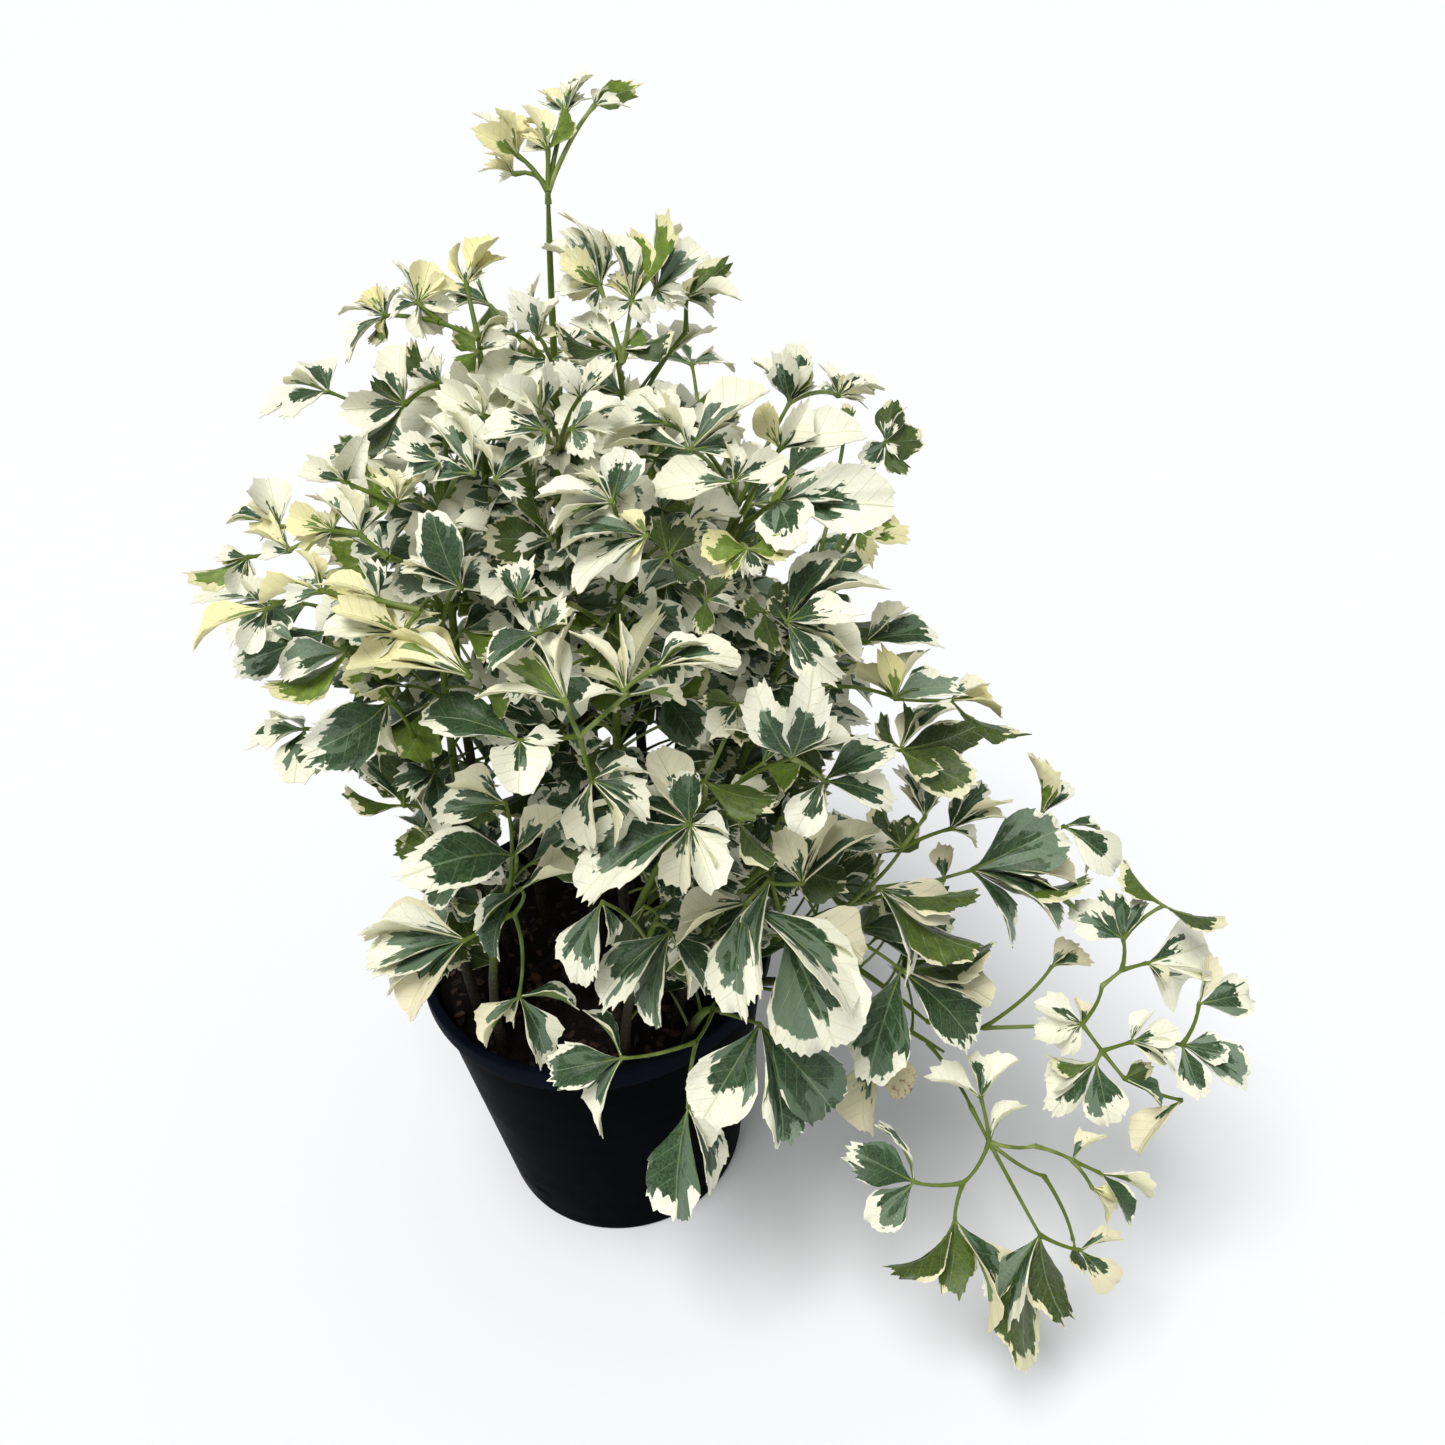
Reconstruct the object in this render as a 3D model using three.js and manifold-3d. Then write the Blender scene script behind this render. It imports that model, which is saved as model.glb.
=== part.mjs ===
// Potted snowflake aralia: a black nursery pot, its soil, and leafy stems of
// variegated leaflets. Millimetres, +Z up, origin at the centre of the pot's base.
import * as THREE from "three";
import { mergeVertices } from "three/addons/utils/BufferGeometryUtils.js";
import Module from "manifold-3d";

// Nursery pot: a tapered thin-walled tub with a lip round its rim and holes in its floor.
const potHeight = 152;
const rimRadius = 82.5;
const baseRadius = 61;
const potWall = 1.8;
const potFloor = 2.4;
const lipHeight = 10;
const lipWidth = 4.6;
const lipStep = 3.6;
const lipRound = 1.2;
const lipLow = potHeight - lipHeight;
const potSides = 36;
const drainRadius = 5.5;
const drainSides = 10;
const drainCount = 6;
const drainRing = 41;

// Soil: it fills the pot to 15 mm under the rim, with a lumpy top. gap is the space
// left between pieces that touch, and holeGap the one round a cane in its hole.
const gap = 0.3;
const holeGap = 0.45;
const soilTop = potHeight - 15;
const soilEdge = soilTop - 3;
const soilRings = 4;
const soilSides = 18;
const soilLump = 2.2;
const soilDish = 1.4;

// Canes: the upright wood of each stem, from its root in the soil to its top. A cane's
// knee is lifted and swayed, least first, until it is clear of the pot and the others.
const caneFoot = 3.4;
const caneTip = 1.5;
const caneSides = 5;
const caneSteps = 6;
const rootDepth = 26;
const kneeSpread = 1.15;
const kneeHeight = 0.6;
const kneeLifts = [0, 8, 16, 26, 38, 50, 65, 80];
const kneeSways = [0, 9, -9, 18, -18];

// Stalks of the fronds, which spring from a cane or from another frond's knuckle.
const stalkBase = 1.35;
const stalkTip = 1.0;
const shortStalk = 14;
const longStalk = 42;
const stalkRise = 0.16;
const stalkTries = 40;
const stalkSwing = 0.02;
const nodeTries = 24;
const nodeLow = 0.3;
const nodeHigh = 0.99;
const nodeSpacing = 7;
const nodeCrowdCost = 30;
const nodeAngleCost = 1.5;
const nodeAngleCosine = 0.75;
const firstSide = [0.36, 0.81, 0.46];

// Knuckles, where a frond's leaflets and further stalks spring from its stalk's end.
const knuckleLeast = 1.3;
const knuckleMost = 2.1;
const knuckleShare = 0.1;

// Leaflets. Each is a thin blade that grows from a face of a knuckle.
const bladeThick = 0.85;
const clearance = 0.35;
const leastLeaf = 11.5;
const leastFused = 18;
const bigLeaf = 18;
const lengthPerWidth = 1.2;
const widthPerLength = 0.6;
const fusedSink = 0.5;
const archRange = [0.05, 0.14];
const foldRange = [0.1, 0.4];
const waveRange = [-0.1, 0.1];

// Sides and rear of the crown, which the photo doesn't show: canes with fronds by rule.
// Each has its foot and its top, in mm.
const rearFronds = 4;
const rearLeaves = 4;
const rearSpread = 1.1;
const rearFan = 0.75;
const rearLow = 0.5;
const rearReach = [30, 46];
const rearRise = [8, 26];
const rearLength = [19, 30];
const rearDip = [-0.5, 0.35];
const rearWidth = 0.66;
const rearViewDrop = 1.4;
const goldenAngle = THREE.MathUtils.degToRad(137.5);
const rearStems = {
  "stem-side-left": { foot: [-54, 20], top: [-79, 26, 330] },
  "stem-rear-left": { foot: [-30, 44], top: [-50, 70, 386] },
  "stem-rear": { foot: [4, 52], top: [8, 84, 398] },
  "stem-rear-right": { foot: [40, 40], top: [66, 66, 372] },
  "stem-side-right": { foot: [56, 14], top: [84, 32, 312] },
};

// The traits that are drawn by chance for each leaflet, frond or stalk, by number.
const trait = { arch: 1, fold: 2, wave: 3, reach: 4, rise: 5, dip: 6, length: 7, swing: 10, lift: 60 };

// Finishes. A stem's colour is the mean of its leaflets' looks.
const potFinish = { color: 0x101216, roughness: 0.45, metalness: 0 };
const soilFinish = { color: 0x15100d, roughness: 0.95, metalness: 0 };
const leafRoughness = 0.5;
const lookColours = {
  w: 0xf1eee0, c: 0xd9cfae, y: 0xe9e2a4, m: 0xa3b4a0, g: 0x44684f, s: 0x8fa79c, u: 0x64802a, d: 0x2f4a33,
};

// The camera that took the photo, in this frame. A place in the photo is given as
// [x, y] in pixels of its 1445 x 1445 frame, with a distance along the view.
const photoCentre = 722.5;
const photoFocal = 1392;
const photoPitch = THREE.MathUtils.degToRad(38.7);
const photoRoll = THREE.MathUtils.degToRad(3.82);
const photoEye = new THREE.Vector3(66, -452, 636);

// The near face of the crown in the photo: at height y, its middle x, its half
// width in pixels, and its distance from the eye at the middle and at the edge.
const crownFace = [
  [90, 550, 90, 450, 456],
  [300, 550, 210, 446, 486],
  [450, 580, 330, 414, 500],
  [600, 560, 370, 406, 490],
  [750, 640, 350, 428, 530],
  [850, 680, 320, 478, 556],
  [950, 690, 330, 528, 576],
  [1060, 690, 300, 572, 592],
  [1200, 690, 300, 594, 592],
];

// Leafy stems. foot is where the cane leaves the soil, in mm; top is its end in the
// photo, [x, y, mm behind the crown's face]. Each frond is [parent, x, y, behind,
// leaflets]: parent is -1 for the cane, or the number of the frond that it springs
// from. Each leaflet is [tip x, tip y, width across in pixels, look]; the looks are
// w white, c cream, y young yellow, m half green, g green, s silver green,
// u green underside towards the eye, d the same in shade.
const stems = {
  "stem-leader": {
    foot: [4, 16],
    top: [548, 194, 0],
    fronds: [
      [-1, 548, 191, 0, []],
      [0, 514, 174, 0, [[487, 166, 10, "y"], [494, 153, 8, "y"]]],
      [0, 518, 156, 0, [[476, 131, 12, "y"], [478, 115, 15, "m"], [502, 112, 10, "y"]]],
      [0, 548, 150, -4, [[527, 137, 12, "y"], [563, 109, 18, "u"], [530, 106, 20, "y"]]],
      [0, 566, 112, 0, [[578, 82, 12, "m"], [592, 75, 9, "m"], [545, 92, 12, "y"]]],
      [0, 594, 106, 0, [[633, 88, 22, "u"]]],
      [-1, 538, 338, 0, [[529, 308, 8, "y"], [546, 311, 8, "y"], [535, 283, 14, "s"], [513, 295, 11, "m"],
        [557, 300, 11, "m"]]],
    ],
  },
  "stem-top-left": {
    foot: [-26, 22],
    top: [480, 350, 25],
    fronds: [
      [-1, 478, 338, 8, []],
      [0, 466, 284, 0, [[465, 245, 12, "y"], [497, 240, 12, "y"], [501, 256, 12, "y"],
        [480, 272, 10, "s"]]],
      [0, 440, 322, 0, []],
      [2, 418, 303, -4, [[430, 262, 34, "y"], [442, 330, 32, "c"], [458, 288, 18, "y"], [392, 316, 12, "g"],
        [398, 262, 14, "s"]]],
      [2, 385, 316, 4, [[340, 312, 18, "m"], [347, 357, 14, "m"], [373, 343, 14, "d"],
        [368, 289, 20, "y"]]],
    ],
  },
  "stem-top-right": {
    foot: [26, 24],
    top: [622, 372, 35],
    fronds: [
      [-1, 622, 362, 22, []],
      [0, 600, 287, 4, [[572, 213, 14, "s"], [548, 242, 13, "m"], [565, 254, 12, "y"], [588, 228, 11, "m"],
        [560, 292, 20, "w"]]],
      [0, 632, 300, 0, [[661, 216, 15, "u"], [606, 232, 25, "c"], [600, 309, 20, "w"],
        [647, 320, 20, "w"]]],
      [0, 656, 290, 0, [[700, 245, 35, "s"], [672, 230, 28, "c"], [682, 294, 18, "w"]]],
      [-1, 686, 332, 22, []],
      [4, 686, 298, 10, [[726, 266, 34, "d"], [737, 298, 13, "c"], [713, 313, 10, "s"]]],
      [-1, 615, 350, 18, [[672, 335, 18, "d"], [560, 334, 15, "d"]]],
    ],
  },
  "stem-upper-left": {
    foot: [-42, 6],
    top: [446, 440, 45],
    fronds: [
      [-1, 440, 384, 20, [[412, 346, 17, "d"]]],
      [0, 405, 405, 4, [[401, 344, 30, "c"], [374, 384, 26, "d"], [346, 418, 28, "c"],
        [335, 450, 20, "d"]]],
      [-1, 474, 474, 6, [[430, 419, 25, "s"], [452, 410, 16, "w"]]],
      [-1, 442, 462, 0, [[407, 476, 18, "g"], [398, 440, 30, "c"]]],
      [-1, 397, 502, 4, [[375, 480, 12, "y"], [388, 468, 12, "y"], [408, 476, 11, "y"],
        [432, 474, 14, "y"]]],
      [4, 345, 482, 4, [[302, 470, 25, "c"], [342, 458, 14, "s"], [375, 446, 20, "w"]]],
    ],
  },
  "stem-left": {
    foot: [-44, -14],
    top: [440, 600, 75],
    fronds: [
      [-1, 388, 558, 8, []],
      [0, 360, 534, 4, [[374, 468, 13, "u"]]],
      [1, 280, 527, 4, [[268, 478, 40, "w"], [226, 523, 12, "s"], [247, 506, 12, "y"]]],
      [1, 333, 531, 0, [[288, 515, 33, "y"], [305, 552, 11, "y"], [346, 503, 12, "y"]]],
      [1, 290, 550, 8, [[247, 531, 15, "y"]]],
      [4, 248, 557, 6, [[190, 578, 20, "u"], [235, 593, 30, "w"]]],
      [-1, 420, 610, 2, []],
      [6, 322, 591, 0, [[302, 550, 10, "y"], [262, 603, 14, "y"]]],
      [7, 268, 609, 0, [[192, 640, 22, "y"]]],
      [6, 378, 600, -4, [[325, 581, 20, "y"], [365, 560, 20, "g"]]],
      [-1, 461, 588, 4, [[405, 568, 22, "g"], [420, 548, 20, "c"], [455, 511, 24, "g"]]],
      [6, 402, 634, -4, [[337, 612, 30, "y"], [325, 641, 15, "w"], [430, 614, 14, "y"]]],
      [-1, 470, 677, -4, [[345, 666, 42, "y"]]],
    ],
  },
  "stem-low-left": {
    foot: [-50, -36],
    top: [430, 760, 75],
    fronds: [
      [-1, 348, 652, 22, [[279, 668, 38, "s"], [273, 694, 28, "u"]]],
      [0, 296, 643, 22, [[235, 666, 40, "s"], [262, 632, 14, "s"]]],
      [-1, 388, 702, 6, [[305, 742, 64, "m"], [350, 756, 26, "w"], [394, 750, 20, "c"]]],
      [-1, 404, 806, 24, [[405, 735, 44, "d"], [347, 788, 22, "d"], [360, 752, 20, "m"]]],
      [-1, 440, 846, 34, [[397, 846, 36, "d"], [412, 790, 30, "c"]]],
    ],
  },
  "stem-front-left": {
    foot: [-40, -52],
    top: [516, 868, 40],
    fronds: [
      [-1, 514, 856, 6, [[422, 902, 62, "m"], [560, 812, 30, "c"]]],
      [-1, 505, 803, 18, [[436, 812, 38, "m"], [452, 786, 16, "c"]]],
      [-1, 514, 914, 30, []],
      [2, 466, 940, 6, [[366, 962, 38, "m"], [408, 1016, 42, "c"], [362, 933, 18, "w"]]],
      [2, 520, 889, 8, [[479, 930, 14, "g"], [493, 957, 26, "g"], [577, 872, 16, "c"]]],
      [2, 519, 996, 6, [[484, 1044, 20, "c"], [512, 1022, 11, "c"], [548, 1062, 36, "m"],
        [576, 1004, 10, "g"]]],
    ],
  },
  "stem-crown": {
    foot: [2, -8],
    top: [556, 430, 40],
    fronds: [
      [-1, 540, 412, 4, [[500, 385, 25, "w"], [531, 368, 14, "s"], [552, 368, 12, "m"]]],
      [-1, 580, 398, 4, [[568, 361, 22, "w"], [611, 364, 22, "c"]]],
      [-1, 572, 430, 0, [[618, 400, 20, "m"], [589, 456, 28, "m"], [607, 430, 16, "w"]]],
      [-1, 546, 431, 0, [[484, 432, 30, "m"]]],
      [-1, 495, 480, 6, [[548, 450, 25, "s"], [478, 445, 12, "c"], [523, 474, 14, "m"]]],
      [-1, 484, 416, 8, [[440, 390, 34, "c"], [468, 378, 14, "w"]]],
      [-1, 552, 540, 46, [[487, 538, 48, "d"], [530, 462, 34, "d"]]],
    ],
  },
  "stem-centre": {
    foot: [16, -30],
    top: [622, 560, 60],
    fronds: [
      [-1, 612, 502, 0, [[626, 448, 44, "s"], [583, 476, 13, "m"], [540, 497, 14, "w"],
        [553, 529, 12, "m"]]],
      [-1, 647, 536, 0, [[560, 541, 25, "s"], [574, 587, 30, "w"], [613, 578, 34, "w"]]],
      [-1, 520, 600, 10, [[501, 567, 22, "g"], [529, 561, 22, "m"]]],
      [-1, 540, 632, 12, [[561, 599, 24, "m"], [488, 660, 28, "g"]]],
      [-1, 580, 736, 14, []],
      [4, 566, 702, 2, [[531, 630, 28, "w"], [484, 668, 25, "m"], [475, 691, 12, "m"],
        [561, 628, 12, "w"]]],
      [4, 626, 695, 2, [[575, 632, 13, "w"], [590, 664, 14, "m"], [613, 627, 12, "w"], [638, 620, 14, "w"],
        [586, 694, 14, "m"], [681, 706, 25, "s"]]],
      [6, 656, 668, 4, [[702, 648, 35, "s"], [741, 660, 28, "c"]]],
      [4, 520, 741, -4, [[422, 712, 45, "m"], [518, 794, 58, "w"]]],
      [4, 592, 780, 8, [[645, 772, 12, "m"], [647, 815, 30, "m"], [588, 846, 22, "c"],
        [616, 842, 14, "m"]]],
    ],
  },
  "stem-upper-right": {
    foot: [34, 6],
    top: [740, 500, 60],
    fronds: [
      [-1, 668, 424, 4, [[607, 424, 28, "m"], [648, 396, 16, "w"]]],
      [-1, 690, 450, 4, [[768, 392, 32, "c"], [738, 430, 12, "m"], [604, 447, 20, "c"]]],
      [-1, 734, 482, -4, [[655, 492, 40, "y"], [781, 458, 34, "y"]]],
      [-1, 780, 449, -4, [[766, 404, 25, "y"], [801, 404, 25, "c"], [862, 428, 40, "w"]]],
      [-1, 778, 502, -4, [[840, 495, 30, "s"], [797, 547, 58, "s"]]],
      [-1, 747, 549, -4, [[702, 545, 34, "y"], [722, 573, 20, "y"], [790, 552, 25, "g"],
        [757, 574, 18, "m"]]],
      [-1, 790, 402, 14, [[755, 363, 14, "m"], [780, 353, 12, "m"], [797, 345, 11, "m"],
        [810, 366, 12, "s"]]],
      [6, 838, 396, 18, [[825, 367, 12, "m"], [861, 377, 20, "m"], [883, 387, 11, "w"]]],
    ],
  },
  "stem-right": {
    foot: [50, -10],
    top: [815, 600, 70],
    fronds: [
      [-1, 857, 530, 0, [[906, 536, 28, "y"], [870, 562, 11, "y"], [822, 468, 48, "w"]]],
      [-1, 885, 442, 14, [[893, 402, 30, "d"], [921, 440, 38, "d"], [859, 451, 28, "s"],
        [906, 473, 18, "d"]]],
      [-1, 787, 622, 2, [[842, 551, 45, "g"], [879, 580, 15, "m"], [852, 614, 20, "m"], [835, 678, 30, "m"],
        [860, 658, 25, "c"], [770, 598, 18, "d"]]],
      [-1, 866, 642, 16, [[905, 606, 20, "c"], [937, 635, 30, "g"], [884, 620, 14, "d"]]],
      [-1, 895, 698, 2, [[884, 652, 22, "y"], [922, 650, 15, "c"], [858, 670, 12, "y"],
        [953, 686, 20, "s"]]],
      [4, 950, 700, 4, [[1021, 730, 14, "d"], [986, 684, 14, "c"]]],
      [-1, 900, 750, 8, [[945, 700, 18, "m"], [974, 729, 24, "d"], [970, 786, 50, "d"]]],
    ],
  },
  "stem-front": {
    foot: [8, -56],
    top: [706, 800, 50],
    fronds: [
      [-1, 690, 825, 0, [[645, 758, 45, "c"], [690, 772, 25, "g"], [600, 801, 25, "m"], [582, 892, 62, "m"],
        [725, 832, 14, "w"], [679, 888, 34, "c"], [715, 890, 40, "w"]]],
      [-1, 700, 780, 26, [[775, 800, 42, "d"]]],
      [-1, 792, 758, 0, [[765, 685, 28, "w"], [801, 682, 28, "w"], [727, 725, 18, "m"], [850, 735, 28, "m"],
        [758, 713, 15, "d"]]],
      [2, 824, 781, 0, [[890, 745, 36, "g"], [894, 791, 38, "m"], [795, 832, 42, "w"]]],
      [-1, 738, 820, 20, [[776, 862, 26, "d"]]],
    ],
  },
  "stem-front-right": {
    foot: [34, -44],
    top: [772, 862, 34],
    fronds: [
      [-1, 771, 879, 4, []],
      [0, 746, 903, 0, [[682, 918, 28, "c"], [675, 939, 19, "c"], [735, 1015, 54, "m"]]],
      [0, 785, 925, 0, [[835, 1046, 104, "m"], [863, 959, 38, "c"]]],
      [0, 802, 884, 2, [[783, 829, 35, "c"], [831, 814, 34, "c"], [876, 824, 28, "c"]]],
    ],
  },
  "stem-low-front": {
    foot: [12, -62],
    top: [668, 900, 30],
    fronds: [
      [-1, 670, 932, 4, [[600, 1000, 46, "m"], [650, 1026, 46, "g"], [708, 985, 30, "g"],
        [690, 999, 16, "w"]]],
      [-1, 602, 902, 10, [[575, 983, 46, "m"], [610, 944, 14, "m"]]],
      [-1, 644, 906, 34, [[634, 958, 40, "d"]]],
    ],
  },
  "stem-over-rim": {
    foot: [34, -56],
    top: [722, 1012, 16],
    fronds: [
      [-1, 696, 1042, -8, []],
      [0, 622, 1058, -10, [[550, 1072, 46, "g"], [602, 1132, 32, "m"], [586, 1013, 12, "g"]]],
      [0, 688, 1108, -6, [[676, 1218, 54, "g"], [717, 1187, 30, "m"], [708, 1146, 18, "w"]]],
      [-1, 760, 1024, -14, [[703, 1118, 68, "s"], [782, 1142, 48, "s"], [832, 1108, 44, "g"]]],
    ],
  },
  "stem-low-right": {
    foot: [54, -32],
    top: [866, 900, 30],
    fronds: [
      [-1, 901, 970, 0, [[868, 1080, 66, "g"], [972, 1042, 56, "g"], [993, 1000, 36, "c"],
        [993, 964, 12, "d"]]],
      [-1, 878, 888, 4, [[935, 960, 48, "m"], [950, 914, 25, "c"], [976, 950, 34, "d"]]],
      [-1, 902, 848, 10, []],
      [2, 925, 817, 4, [[900, 770, 15, "m"], [938, 783, 18, "m"]]],
      [2, 950, 829, 2, [[985, 785, 30, "g"], [1003, 815, 18, "m"]]],
      [-1, 972, 870, 0, [[1062, 828, 66, "s"], [1076, 880, 20, "c"], [1054, 932, 56, "s"]]],
      [5, 1042, 814, 14, [[1024, 759, 12, "c"], [1042, 764, 22, "g"], [1071, 784, 24, "m"]]],
      [5, 1064, 826, 18, [[1118, 868, 40, "w"], [1103, 834, 14, "g"]]],
      [-1, 876, 1046, 16, [[862, 1132, 44, "c"], [908, 1094, 34, "c"]]],
    ],
  },
  "stem-arm": {
    foot: [62, -14],
    top: [930, 1024, 14],
    fronds: [
      [-1, 983, 1028, -6, []],
      [0, 1052, 966, -10, [[1076, 944, 22, "c"], [1090, 964, 18, "c"]]],
      [0, 1082, 1024, -16, [[1037, 1005, 24, "w"], [1036, 1034, 28, "w"], [1060, 1050, 26, "w"],
        [1077, 1000, 10, "c"]]],
      [2, 1102, 986, -18, []],
      [3, 1122, 970, -20, []],
      [4, 1123, 939, -20, [[1074, 906, 40, "m"], [1104, 891, 30, "g"], [1144, 902, 22, "m"]]],
      [5, 1163, 906, -18, [[1125, 861, 14, "d"], [1225, 921, 14, "d"]]],
      [4, 1147, 963, -22, [[1206, 945, 68, "w"], [1166, 985, 12, "y"]]],
      [2, 1102, 1051, -20, []],
      [8, 1131, 1042, -24, [[1176, 1030, 28, "w"], [1179, 1062, 28, "w"], [1153, 1015, 20, "w"]]],
      [8, 1124, 1078, -20, [[1151, 1066, 20, "d"], [1160, 1106, 12, "g"]]],
      [8, 1096, 1062, -20, [[1052, 1112, 40, "m"], [1110, 1124, 44, "m"], [1051, 1060, 20, "d"]]],
      [9, 1182, 1045, -22, [[1250, 1080, 40, "m"], [1201, 1096, 34, "m"]]],
      [12, 1199, 1004, -20, [[1250, 993, 44, "m"], [1208, 957, 25, "c"]]],
      [10, 1182, 1100, -14, [[1138, 1153, 26, "c"]]],
    ],
  },
  "stem-trailing": {
    foot: [46, -46],
    top: [944, 1052, 10],
    fronds: [
      [-1, 971, 1107, -16, []],
      [0, 989, 1142, -22, [[1020, 1104, 9, "y"]]],
      [1, 981, 1098, -26, [[932, 1077, 16, "w"], [968, 1055, 16, "m"], [1016, 1058, 20, "w"]]],
      [1, 963, 1183, -22, []],
      [3, 914, 1182, -22, [[852, 1150, 44, "g"], [872, 1226, 42, "m"], [880, 1127, 16, "g"]]],
      [3, 955, 1220, -16, [[948, 1292, 36, "d"], [896, 1272, 20, "d"], [993, 1328, 26, "c"]]],
      [1, 1040, 1235, -16, [[1003, 1328, 42, "s"], [1062, 1318, 38, "d"], [1026, 1366, 38, "d"]]],
      [6, 1080, 1250, -14, [[1116, 1286, 34, "c"], [1121, 1240, 12, "c"]]],
      [1, 1044, 1176, -12, []],
      [8, 1073, 1240, -2, [[1086, 1268, 12, "d"]]],
      [1, 1035, 1146, -22, []],
      [10, 1072, 1160, -20, [[1100, 1138, 14, "c"]]],
      [11, 1100, 1173, -18, [[1147, 1204, 22, "w"], [1131, 1223, 20, "g"]]],
      [11, 1092, 1188, -18, [[1107, 1219, 10, "c"], [1113, 1198, 12, "y"]]],
    ],
  },
};

const wasm = await Module();
wasm.setup();

function vec(x, y, z) {
  return new THREE.Vector3(x, y, z);
}

// A repeatable number from 0 to 1 for a leaflet or frond and one of its traits.
function chance(seed, kind) {
  const wave = Math.sin(seed * 12.9898 + kind * 78.233) * 43758.5453;
  return wave - Math.floor(wave);
}

function between(low, high, share) {
  return low + (high - low) * share;
}

// A repeatable number within a range of two values.
function draw([low, high], seed, kind) {
  return between(low, high, chance(seed, kind));
}

// The camera's right, up and forward directions.
const photoForward = vec(0, Math.cos(photoPitch), -Math.sin(photoPitch));
const photoUp = vec(0, Math.sin(photoPitch), Math.cos(photoPitch)).applyAxisAngle(photoForward, photoRoll);
const photoRight = photoForward.clone().cross(photoUp);

function photoPoint(x, y, distance) {
  return photoForward.clone()
    .addScaledVector(photoRight, (x - photoCentre) / photoFocal)
    .addScaledVector(photoUp, (photoCentre - y) / photoFocal)
    .multiplyScalar(distance)
    .add(photoEye);
}

// Distance from the eye to the crown's near face, at a place in the photo.
function crownDistance(x, y) {
  let row = 0;
  while (row < crownFace.length - 2 && y > crownFace[row + 1][0]) {
    row += 1;
  }
  const low = crownFace[row];
  const high = crownFace[row + 1];
  const share = THREE.MathUtils.clamp((y - low[0]) / (high[0] - low[0]), 0, 1);
  const [, middle, half, near, edge] = low.map((value, k) => between(value, high[k], share));
  const off = Math.min(1, Math.abs(x - middle) / half);
  return between(near, edge, off * off);
}

// A closed geometry as a solid that can be joined and cut.
function toSolid(geometry) {
  const bare = geometry.index ? geometry.clone() : geometry;
  bare.deleteAttribute("normal");
  bare.deleteAttribute("uv");
  const merged = mergeVertices(bare, 1e-4);
  return new wasm.Manifold(new wasm.Mesh({
    numProp: 3,
    vertProperties: new Float32Array(merged.attributes.position.array),
    triVerts: new Uint32Array(merged.index.array),
  }));
}

function toGeometry(solid) {
  const mesh = solid.getMesh();
  const geometry = new THREE.BufferGeometry();
  geometry.setAttribute("position", new THREE.BufferAttribute(Float32Array.from(mesh.vertProperties), 3));
  geometry.setIndex(new THREE.BufferAttribute(Uint32Array.from(mesh.triVerts), 1));
  geometry.computeVertexNormals();
  return geometry;
}

function geometryFrom(points, triangles) {
  const geometry = new THREE.BufferGeometry();
  const flat = points.flatMap((point) => [point.x, point.y, point.z]);
  geometry.setAttribute("position", new THREE.Float32BufferAttribute(flat, 3));
  geometry.setIndex(triangles.flat());
  return geometry;
}

// A ring of points round a place on a stem, starting at the side given.
function ringAt(point, along, side, radius, sides) {
  const across = along.clone().cross(side);
  return Array.from({ length: sides }, (_, turn) => {
    const angle = (2 * Math.PI * turn) / sides;
    return point.clone()
      .addScaledVector(side, radius * Math.cos(angle))
      .addScaledVector(across, radius * Math.sin(angle));
  });
}

function squareTo(direction, along) {
  return direction.clone().addScaledVector(along, -direction.dot(along)).normalize();
}

// The walls between two rings of the same count.
function ringWalls(low, high) {
  return low.flatMap((a, k) => {
    const next = (k + 1) % low.length;
    return [[a, low[next], high[next]], [a, high[next], high[k]]];
  });
}

// A tapered stem through the points, with closed ends.
function stemGeometry(path, radii, sides) {
  const points = [];
  const rings = [];
  let side = vec(...firstSide);
  path.forEach((point, k) => {
    const before = path[Math.max(0, k - 1)];
    const after = path[Math.min(path.length - 1, k + 1)];
    const along = after.clone().sub(before).normalize();
    side = squareTo(side, along);
    rings.push(Array.from({ length: sides }, (_, turn) => points.length + turn));
    points.push(...ringAt(point, along, side, radii[k], sides));
  });
  const triangles = rings.slice(1).flatMap((ring, k) => ringWalls(rings[k], ring));
  const last = rings[rings.length - 1][0];
  for (let turn = 1; turn < sides - 1; turn += 1) {
    triangles.push([0, turn + 1, turn], [last, last + turn, last + turn + 1]);
  }
  return geometryFrom(points, triangles);
}

// Outlines of a leaflet from one side of its base round its tip to the other side:
// [share of the length, share of the half width]. The big one has three lobes.
const bigOutline = [
  [0.48, -0.78], [0.74, -1.0], [0.82, -0.66], [1.0, -0.3],
  [1.0, 0.3], [0.82, 0.66], [0.74, 1.0], [0.48, 0.78],
];
const smallOutline = [[0.56, -1.0], [0.8, -0.66], [1.0, 0.0], [0.8, 0.66], [0.56, 1.0]];
const smallCover = [[0, 1, 5], [0, 5, 6], [1, 2, 4], [1, 4, 5], [2, 3, 4]];
const ribShare = 0.5;

// The bends to try for a leaflet, least first: its tip moved along the view and to the
// side, as shares of its length, and the blade turned about its own axis.
const steps = [0, 0.2, -0.2, 0.42, -0.42, 0.7, -0.7, 1, -1];
const bends = steps
  .flatMap((push) => steps.slice(0, 7).flatMap((roll) => steps.slice(0, 5)
    .map((slide) => ({ push, roll: roll * 1.8, slide: slide * 0.7 }))))
  .sort((one, other) => departure(one) - departure(other));

function departure({ push, roll, slide }) {
  return push * push + 0.35 * roll * roll + 6 * slide * slide;
}

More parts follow.
